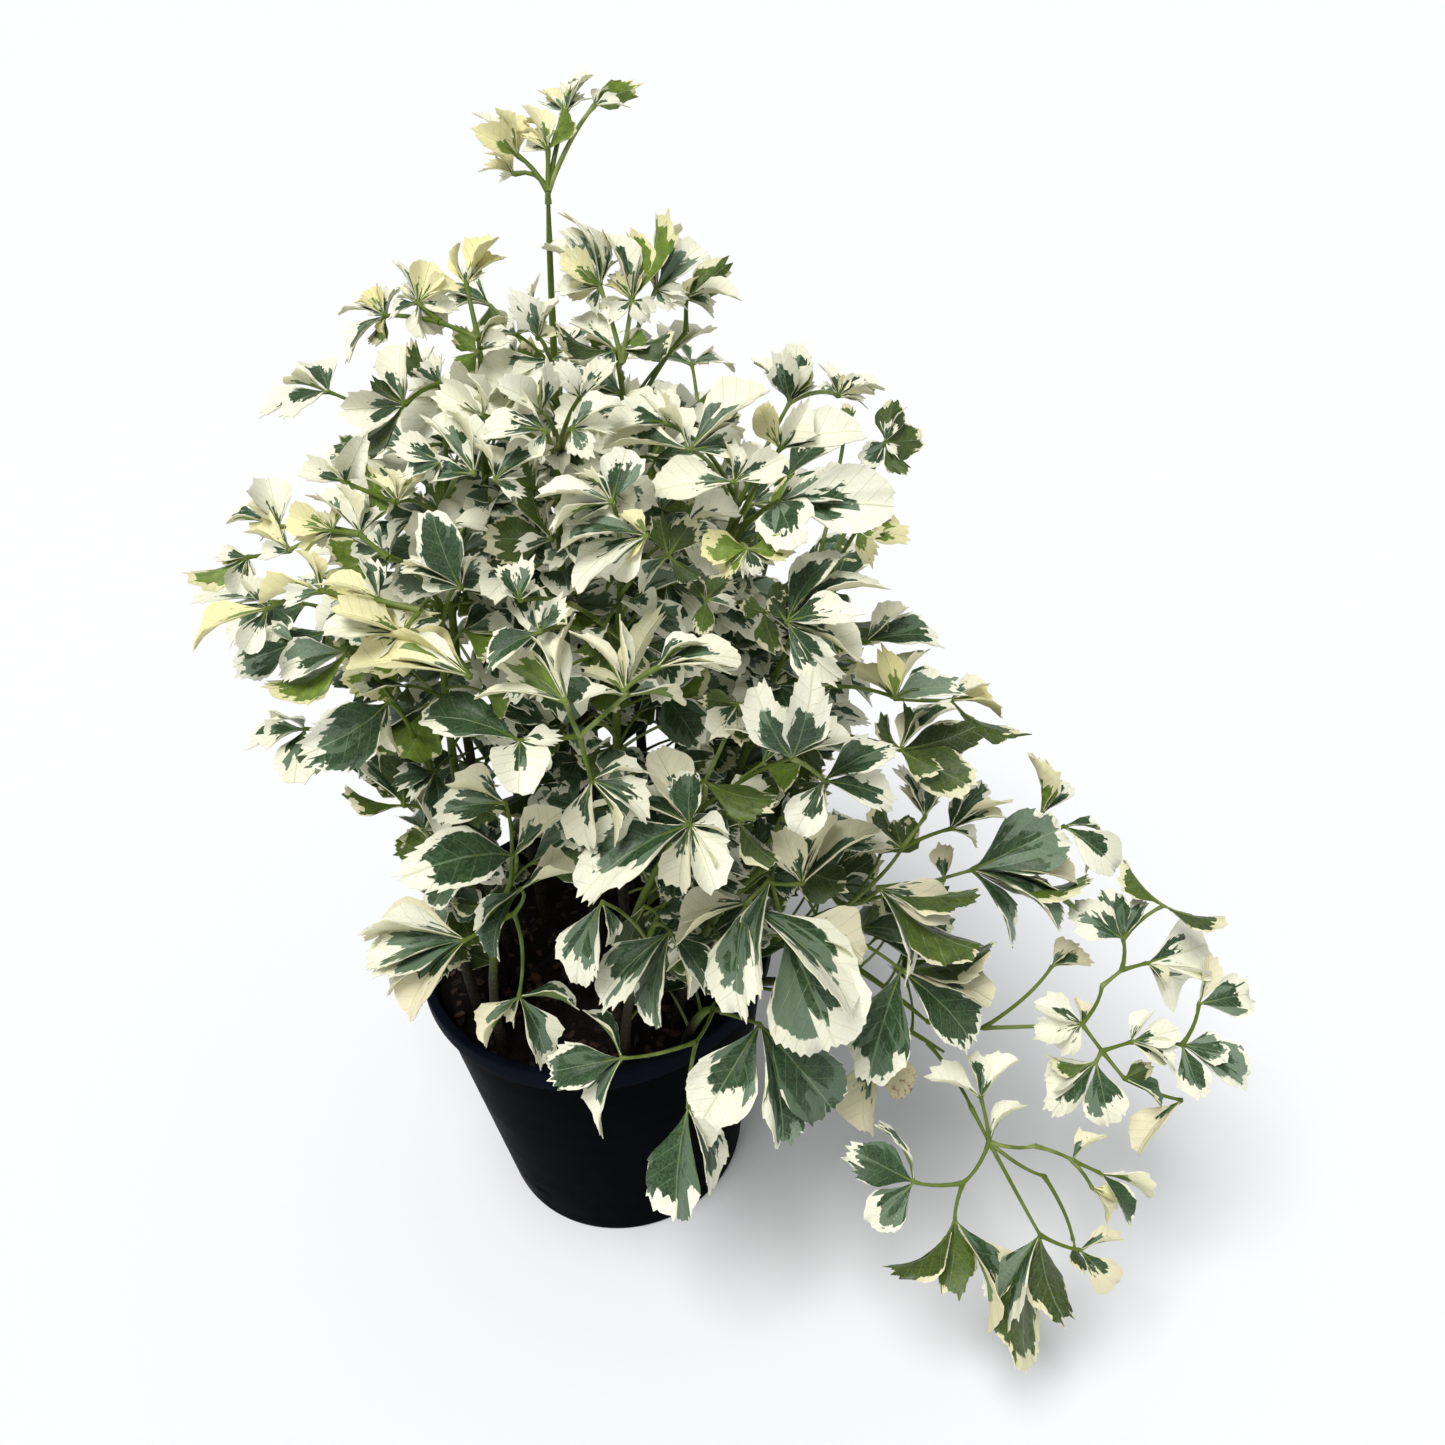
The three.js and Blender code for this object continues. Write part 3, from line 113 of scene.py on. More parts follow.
class Value:
    """A number or colour that a node gives. Sums and products of it add Math nodes."""

    def __init__(self, finish, socket):
        self.finish = finish
        self.socket = socket

    def parts(self, kind="XYZ"):
        """The three parts of a vector or of a colour."""
        apart = self.finish.node("ShaderNodeSeparate" + kind, {}, {0: self})
        return [Value(self.finish, socket) for socket in apart.socket.node.outputs]

    def __add__(self, value):
        return self.finish.maths("ADD", self, value)

    __radd__ = __add__

    def __sub__(self, value):
        return self.finish.maths("SUBTRACT", self, value)

    def __rsub__(self, value):
        return self.finish.maths("SUBTRACT", value, self)

    def __mul__(self, value):
        return self.finish.maths("MULTIPLY", self, value)

    __rmul__ = __mul__

    def __abs__(self):
        return self.finish.maths("ABSOLUTE", self)


class Finish:
    """A material, or the sky, whose nodes are all made by one method."""

    def __init__(self, name, tree=None):
        if tree is None:
            self.material = bpy.data.materials.new(name)
            self.material.use_nodes = True
            tree = self.material.node_tree
        self.tree = tree
        self.tree.nodes.clear()

    def node(self, kind, settings=None, sockets=None, out=0):
        """Adds a node: its settings, then the values or links of its sockets."""
        made = self.tree.nodes.new(kind)
        for key, value in (settings or {}).items():
            setattr(made, key, value)
        for key, value in (sockets or {}).items():
            if isinstance(value, Value):
                self.tree.links.new(value.socket, made.inputs[key])
            else:
                made.inputs[key].default_value = value
        return Value(self, made.outputs[out] if made.outputs else None)

    def maths(self, operation, *values):
        """A Math node's operation on one value or two."""
        return self.node("ShaderNodeMath", {"operation": operation}, dict(enumerate(values)))

    def step(self, value, low, high, first=0.0, last=1.0):
        """A value's place between low and high, from first to last, and held there."""
        return self.node("ShaderNodeMapRange", {}, {0: value, 1: low, 2: high, 3: first, 4: last})

    def coats(self, colour, *coats):
        """A colour with coats of others mixed over it, each by its own share."""
        for share, coat in coats:
            sockets = {0: share, 6: colour, 7: coat}
            colour = self.node("ShaderNodeMix", {"data_type": "RGBA"}, sockets, 2)
        return colour

    def place(self, out=3):
        """The object's own coordinates. Out 0 is the way that the sky is looked up by."""
        return self.node("ShaderNodeTexCoord", out=out)

    def attribute(self, name, out=1):
        """A mesh's own attribute: a vector, or with out 2 a number."""
        return self.node("ShaderNodeAttribute", {"attribute_name": name}, out=out)

    def noise(self, place, scale, detail=2.0, rough=0.5):
        """Soft noise from 0 to 1 at a scale."""
        sockets = {"Vector": place, "Scale": scale, "Detail": detail, "Roughness": rough}
        return self.node("ShaderNodeTexNoise", {}, sockets)

    def bump(self, height, strength, distance):
        """A relief's normal, its distance in metres."""
        sockets = {"Strength": strength, "Distance": distance, "Height": height}
        return self.node("ShaderNodeBump", {}, sockets)

    def end(self, shader, kind="ShaderNodeOutputMaterial"):
        """The node that the tree ends in."""
        self.node(kind, {}, {"Surface": shader})

    def surface(self, **sockets):
        """The finished material, with the shader's sockets by name."""
        named = {key.replace("_", " "): value for key, value in sockets.items()}
        self.end(self.node("ShaderNodeBsdfPrincipled", {}, named))
        return self.material


def linear(code):
    """A colour from its six hexadecimal digits, as the shader's linear values."""
    parts = [int(code[k:k + 2], 16) / 255 for k in (0, 2, 4)]
    return tuple(c / 12.92 if c < 0.04045 else ((c + 0.055) / 1.055) ** 2.4 for c in parts) + (1.0,)


world = bpy.data.worlds.new("studio")
world.use_nodes = True
sky_finish = Finish("sky", world.node_tree)
sky_height = sky_finish.place(0).parts()[2]
sky_colour = sky_finish.coats(SKY_LOW, (sky_finish.step(sky_height, 0.0, SKY_BAND), SKY_HIGH))
sky_finish.end(sky_finish.node("ShaderNodeBackground", {}, {"Color": sky_colour}), "ShaderNodeOutputWorld")
bpy.context.scene.world = world
bpy.context.scene.view_settings.view_transform = "Standard"

lamp_data = bpy.data.lights.new("lamp-above", "SUN")
lamp_data.angle = LAMP_SPREAD
lamp_data.energy = LAMP_POWER
lamp_data.color = LAMP_COLOUR
lamp = add_object("lamp-above", lamp_data)
lamp.location = LAMP_PLACE
lamp.rotation_euler = (-LAMP_PLACE).to_track_quat("-Z", "Y").to_euler()

floor_mesh = bpy.data.meshes.new("floor")
corners = [(x * FLOOR_HALF, y * FLOOR_HALF, 0) for x, y in ((-1, -1), (1, -1), (1, 1), (-1, 1))]
floor_mesh.from_pydata(corners, [], [(0, 1, 2, 3)])
floor_mesh.materials.append(Finish("floor").surface(Base_Color=FLOOR_COLOUR, Roughness=0.9))
floor = add_object("floor", floor_mesh)

# The nursery pot: one thin-walled tub of black moulded plastic with a lip round its
# rim, faint turned rings from its mould, and drain holes drilled in its floor.
POT_HEIGHT = 152
RIM_RADIUS = 82.5
BASE_RADIUS = 61
BASE_LIFT = 0.8
BASE_ROUND = 1.5
FOOT_WIDTH = 5
POT_WALL = 1.8
POT_FLOOR = 2.4
POT_SIDES = 176
SIDE_ROWS = 44
INSIDE_ROWS = 12
POLE_RADIUS = 0.02
RING_SWELL = 0.03
RING_TURNS = 0.42
LIP_LOW = POT_HEIGHT - 10
LIP_WIDTH = 4.6
LIP_STEP = 3.6
LIP_ROUND = 1.2
DRAIN_RADIUS = 5.5
DRAIN_COUNT = 6
DRAIN_SIDES = 24
DRAIN_RING = 41
DRILL_SPAN = (-2, 6)
POT_BLACK = linear("020304")
POT_WORN = linear("07090d")
# The navy of the sheen that is painted on the lip.
POT_LIP_SHEEN = linear("10141e")
POT_DUST = linear("171512")
POT_SHINE = 0.003


def add_piece(name, points, faces, slot, material, sharp=40, replaced=()):
    """A mesh piece from points in mm, smooth except at edges sharper than the angle."""
    mesh = bpy.data.meshes.new(name)
    mesh.from_pydata(np.asarray(points) / 1000, [], faces)
    mesh.polygons.foreach_set("use_smooth", np.ones(len(mesh.polygons), bool))
    mesh.set_sharp_from_angle(angle=math.radians(sharp))
    mesh.materials.append(material)
    piece = add_object(name, mesh)
    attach(piece, "root")
    if replaced:
        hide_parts(*replaced)
    return piece


def wrapped(sides, rows):
    """The faces of a grid that is closed round its sides, with a flat cap at each end."""
    grid = np.arange(sides * rows).reshape(sides, rows)
    after = np.roll(grid, -1, axis=0)
    walls = np.stack([grid[:, :-1], after[:, :-1], after[:, 1:], grid[:, 1:]], -1).reshape(-1, 4)
    return walls.tolist() + [grid[::-1, 0].tolist(), grid[:, -1].tolist()]


def joined(shapes):
    """Several shapes, each its points and faces, as the points and faces of one."""
    faces, first = [], 0
    for points, skin in shapes:
        faces += [[first + corner for corner in face] for face in skin]
        first += len(points)
    return np.concatenate([points for points, skin in shapes]), faces


def turned(profile, sides):
    """A profile of (radius, height) turned round Z: (r cos a, r sin a, z) on a grid."""
    r, z = np.array(profile, float).T
    angles = np.linspace(0, 2 * math.pi, sides, endpoint=False)
    grid = np.stack([np.outer(np.cos(angles), r), np.outer(np.sin(angles), r), np.tile(z, (sides, 1))], -1)
    return grid.reshape(-1, 3), wrapped(sides, len(profile))


def arc(cr, cz, radius, start, stop, count):
    """Points on a circle's arc, between two angles in degrees."""
    angles = np.radians(np.linspace(start, stop, count))
    return [(cr + radius * math.cos(a), cz + radius * math.sin(a)) for a in angles]


def side_radius(z):
    """The tub's outer radius: it widens evenly, and swells as the sine of the height."""
    straight = BASE_RADIUS + (RIM_RADIUS - LIP_STEP - BASE_RADIUS) * z / (LIP_LOW - LIP_ROUND)
    return straight + RING_SWELL * math.sin(z * RING_TURNS)


def pot_profile():
    """The tub's wall from under its floor, up the side, over the lip and down inside."""
    lip = RIM_RADIUS - LIP_ROUND
    foot = BASE_RADIUS - FOOT_WIDTH
    made = [(POLE_RADIUS, BASE_LIFT), (foot - 1, BASE_LIFT), (foot, 0)]
    made += arc(BASE_RADIUS - BASE_ROUND, BASE_ROUND, BASE_ROUND, -90, -8, 6)
    made += [(side_radius(z), z) for z in np.linspace(4, LIP_LOW - 2, SIDE_ROWS)]
    made += arc(lip, LIP_LOW + LIP_ROUND, LIP_ROUND, -90, 0, 5)
    made += arc(lip, POT_HEIGHT - LIP_ROUND, LIP_ROUND, 0, 90, 6)
    made += arc(RIM_RADIUS - LIP_WIDTH + LIP_ROUND, POT_HEIGHT - LIP_ROUND, LIP_ROUND, 90, 180, 6)
    inside = np.linspace(LIP_LOW - POT_WALL, POT_FLOOR + 3, INSIDE_ROWS)
    made += [(side_radius(z) - POT_WALL, z) for z in inside]
    return made + [(BASE_RADIUS - POT_WALL - 2, POT_FLOOR), (POLE_RADIUS, POT_FLOOR)]


def pot_look():
    """Black plastic, clouded by wear and dusty near the ground, with a navy sheen painted on its lip."""
    finish = Finish("pot-plastic")
    place = finish.place()
    height = place.parts()[2]
    cloud = finish.noise(place, 28.0, 5.0)
    grain = finish.noise(place, 900.0, 2.0)
    dust = finish.step(finish.noise(place, 70.0, 6.0, 0.7), 0.52, 0.72) * finish.step(height, 0.06, 0.0) * 0.5
    # Painted sheen: navy over the lip, from its lower edge up.
    lip_sheen = finish.step(height, (LIP_LOW - 1) / 1000, LIP_LOW / 1000)
    colour = finish.coats(POT_BLACK, (cloud, POT_WORN), (dust, POT_DUST), (lip_sheen, POT_LIP_SHEEN))
    relief = finish.bump(grain + 0.6 * cloud, 0.25, 0.0002)
    gloss = finish.step(cloud, 0.3, 0.7, 0.34, 0.48) + dust
    return finish.surface(Base_Color=colour, Roughness=gloss, Normal=relief, Specular_IOR_Level=POT_SHINE)


pot = add_piece("pot-tub", *turned(pot_profile(), POT_SIDES), "pot", pot_look(), 40, ["pot"])

low, high = DRILL_SPAN
drill_profile = [(POLE_RADIUS, low), (DRAIN_RADIUS, low), (DRAIN_RADIUS, high), (POLE_RADIUS, high)]
shaft, shaft_skin = turned(drill_profile, DRAIN_SIDES)
shafts = []
for k in range(DRAIN_COUNT):
    angle = 2 * math.pi * k / DRAIN_COUNT
    shafts.append((shaft + [DRAIN_RING * math.cos(angle), DRAIN_RING * math.sin(angle), 0], shaft_skin))
drill_points, drill_faces = joined(shafts)
drill_mesh = bpy.data.meshes.new("drills")
drill_mesh.from_pydata(drill_points / 1000, [], drill_faces)
drills = add_object("drills", drill_mesh)
cut = pot.modifiers.new("drains", "BOOLEAN")
cut.operation = "DIFFERENCE"
cut.solver = "EXACT"
cut.object = drills
bpy.context.view_layer.objects.active = pot
pot.select_set(True)
bpy.ops.object.modifier_apply(modifier="drains")
bpy.data.objects.remove(drills)

# The soil: one body of damp dark potting mix that fills the pot to 15 mm under its
# rim. Its top is lumpy with crumbs, and the canes stand in it.
SOIL_TOP = POT_HEIGHT - 15
SOIL_GAP = 0.4
SOIL_RINGS = 80
SOIL_SPOKES = 260
SOIL_WAVE = 2.2
SOIL_DISH = 1.4
SOIL_SINK = 7.8
CRUMB_COUNT = 36
CRUMB_SIZES = (9, 1.3)
CRUMB_HEIGHT = 0.09
SOIL_DARK = linear("0f0b08")
SOIL_LIGHT = linear("211812")

crumb_random = np.random.default_rng(5)
crumb_turn = crumb_random.uniform(0, 2 * math.pi, CRUMB_COUNT)
crumb_size = np.geomspace(*CRUMB_SIZES, CRUMB_COUNT)
crumb_start = crumb_random.uniform(0, 2 * math.pi, CRUMB_COUNT)


def soil_height(x, y):
    """The solid's two crossed waves and its dip at the wall, with crumbs of 1 to 9 mm: the
    sum over many random ways of size times |sin(way . place / size + start)|."""
    waves = np.sin(x * 0.11 + 0.6) * np.cos(y * 0.13) + 0.6 * np.sin(x * 0.27 - y * 0.21)
    way = np.multiply.outer(x, np.cos(crumb_turn)) + np.multiply.outer(y, np.sin(crumb_turn))
    crumbs = np.abs(np.sin(way / crumb_size + crumb_start)) @ crumb_size * CRUMB_HEIGHT
    return SOIL_TOP + SOIL_WAVE * waves - SOIL_DISH * (x * x + y * y) / RIM_RADIUS ** 2 + crumbs - SOIL_SINK


def soil_points(wall):
    """Rings from the underside's middle out and up the wall, then in over the top, each
    at (r cos a, r sin a), with the top's rings at the soil's height."""
    foot = side_radius(POT_FLOOR + 1) - POT_WALL - SOIL_GAP
    top_radii = np.linspace(1, 0.03, SOIL_RINGS) ** 0.8 * wall
    turns = np.linspace(0, 2 * math.pi, SOIL_SPOKES, endpoint=False)[:, None]
    radii = np.tile(np.concatenate([[0.05, foot, wall], top_radii]), (SOIL_SPOKES, 1))
    x, y = radii * np.cos(turns), radii * np.sin(turns)
    z = soil_height(x, y)
    z[:, :3] = [POT_FLOOR + SOIL_GAP, POT_FLOOR + SOIL_GAP, SOIL_TOP - 5]
    return np.stack([x, y, z], -1).reshape(-1, 3)


def soil_look():
    """Dark crumbs with lighter ones among them, and damp dull patches."""
    finish = Finish("soil")
    place = finish.place()
    crumb = finish.noise(place, 420.0, 6.0, 0.7)
    patch = finish.noise(place, 60.0, 4.0)
    damp = finish.step(patch, 0.45, 0.7) * 0.5
    colour = finish.coats(SOIL_DARK, (finish.step(crumb, 0.4, 0.75), SOIL_LIGHT), (damp, SOIL_DARK))
    dull = finish.step(patch, 0.3, 0.7, 0.75, 0.95)
    relief = finish.bump(crumb, 1.0, 0.0015)
    return finish.surface(Base_Color=colour, Roughness=dull, Normal=relief, Specular_IOR_Level=0.2)


soil_wall = side_radius(SOIL_TOP - 4) - POT_WALL - SOIL_GAP
soil_faces = wrapped(SOIL_SPOKES, SOIL_RINGS + 3)
add_piece("soil-mix", soil_points(soil_wall), soil_faces, "soil", soil_look(), 180, ["soil"])

# Bark chips: flat brown slivers of pine bark from the potting mix, six-sided with
# bevelled ends. They lie tumbled and loose on the soil, each a tone of its own.
CHIP_COUNT = 420
CHIP_LARGE_COUNT = 85
CHIP_SIDES = 6
CHIP_SMALL = (0.9, 3.2)
CHIP_LARGE = (2.6, 4.4)
CHIP_DARK = linear("160d08")
CHIP_LIGHT = linear("4a2e1d")


def chip_shape(random, large):
    """A sliver: two rings of corners (r cos a, f r sin a), tumbled and laid on the soil."""
    reach = math.sqrt(random.uniform(0, 1)) * (soil_wall - 3)
    turn = random.uniform(0, 2 * math.pi)
    x, y = reach * math.cos(turn), reach * math.sin(turn)
    size = random.uniform(*(CHIP_LARGE if large else CHIP_SMALL))
    flat = random.uniform(0.35, 0.75)
    angles = np.arange(CHIP_SIDES) * 2 * math.pi / CHIP_SIDES
    ring = np.stack([np.cos(angles), np.sin(angles) * flat, 0 * angles], 1)
    ring *= size * random.uniform(0.75, 1.15, (CHIP_SIDES, 1))
    thick = size * random.uniform(0.14, 0.3)
    shape = np.concatenate([ring + [0, 0, -thick], ring * 0.86 + [0, 0, thick]])
    tumble = Matrix.Rotation(random.uniform(0, 6.3), 3, "Z") @ Matrix.Rotation(random.normal(0, 0.35), 3, "X")
    return shape @ np.array(tumble).T + [x, y, soil_height(x, y) + thick * 0.8]


def chip_look():
    """Brown bark, lighter by the chip's tone and along its fibres."""
    finish = Finish("bark")
    fibre = finish.noise(finish.place(), 900.0, 4.0, 0.6)
    light = finish.step(finish.attribute("chip_tone", 2) + 0.4 * fibre, 0.3, 1.2)
    colour = finish.coats(CHIP_DARK, (light, CHIP_LIGHT))
    return finish.surface(Base_Color=colour, Roughness=0.8, Normal=finish.bump(fibre, 0.6, 0.0006))


chip_random = np.random.default_rng(7)
under = np.arange(CHIP_SIDES)
over = under + CHIP_SIDES
chip_skin = np.stack([under, np.roll(under, -1), np.roll(over, -1), over], 1).tolist()
chip_skin += [under[::-1].tolist(), over.tolist()]
chip_shapes = [(chip_shape(chip_random, k < CHIP_LARGE_COUNT), chip_skin) for k in range(CHIP_COUNT)]
chip_points, chip_faces = joined(chip_shapes)
chips_mesh = bpy.data.meshes.new("bark-chips")
chips_mesh.from_pydata(chip_points / 1000, [], chip_faces)
chip_tones = chips_mesh.attributes.new("chip_tone", "FLOAT", "POINT")
chip_tones.data.foreach_set("value", np.repeat(chip_random.uniform(0, 1, CHIP_COUNT), 2 * CHIP_SIDES))
chips_mesh.materials.append(chip_look())
chips = add_object("bark-chips", chips_mesh)
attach(chips, "root")

# The leafy stems: upright canes of one bushy aralia that stand in the soil, each with
# fronds of a few leaflets on thin stalks. They are laid out here, by the rules of the
# solids, and made in the sections below.

# By photo row: the crown's middle and half its width, in pixels, and how far from the
# eye its near face is there, at its middle and at its edge.
CROWN_FACE = np.array([
    [90, 550, 90, 450, 456], [300, 550, 210, 446, 486], [450, 580, 330, 414, 500],
    [600, 560, 370, 406, 490], [750, 640, 350, 428, 530], [850, 680, 320, 478, 556],
    [950, 690, 330, 528, 576], [1060, 690, 300, 572, 592], [1200, 690, 300, 594, 592],
])
CANE_RADII = (3.4, 1.5)
CANE_STEPS = 6
ROOT_DEPTH = 26
KNEE_SPREAD = 1.15
KNEE_RISE = 0.6
KNEE_LIFTS = (0, 8, 16, 26, 38, 50, 65, 80)
KNEE_SWAYS = (0, 9, -9, 18, -18)
CANE_PLACES = 24
NODE_LOW = 0.3
NODE_SPAN = 0.69
CROWD_REACH = 7
CROWD_COST = 30
EASY_ANGLE = 0.75
ANGLE_COST = 1.5
STALK_RADII = (1.35, 1.0)
STALK_TRIES = 40
STALK_STRAY = 0.02
STALK_RISE = 0.16
STALK_LENGTHS = (14, 42)
GOLDEN_ANGLE = math.radians(137.5)
NEAR = 0.03
# The bends that keep the solids' blades apart: a push back, a roll and a slide.
BEND_STEPS = (0, 0.2, -0.2, 0.42, -0.42, 0.7, -0.7, 1, -1)
BENDS = [(push, roll * 1.8, slide * 0.7)
         for push in BEND_STEPS for roll in BEND_STEPS[:7] for slide in BEND_STEPS[:5]]
# The rims of the solids' plain blades, as shares of the length and of half the width,
# and the corners of them, with their upper or lower side, that a blade is known by.
HALF_SIDE = [(0.48, 0.78), (0.74, 1), (0.82, 0.66), (1, 0.3)]
BIG_RIM = [(share, -out) for share, out in HALF_SIDE] + HALF_SIDE[::-1]
SMALL_RIM = [(0.56, -1), (0.8, -0.66), (1, 0), (0.8, 0.66), (0.56, 1)]
BLADE_CHECKS = ((1, 1), (3, 1), (2, -1))
BIG_HALF = 9
BLADE_SKIN = 0.425
LEAST_LENGTH = 1.2
LEAST_WIDTH = 0.6
REAR_FRONDS = 4
REAR_LEAFLETS = 4
SLIM = 0.6
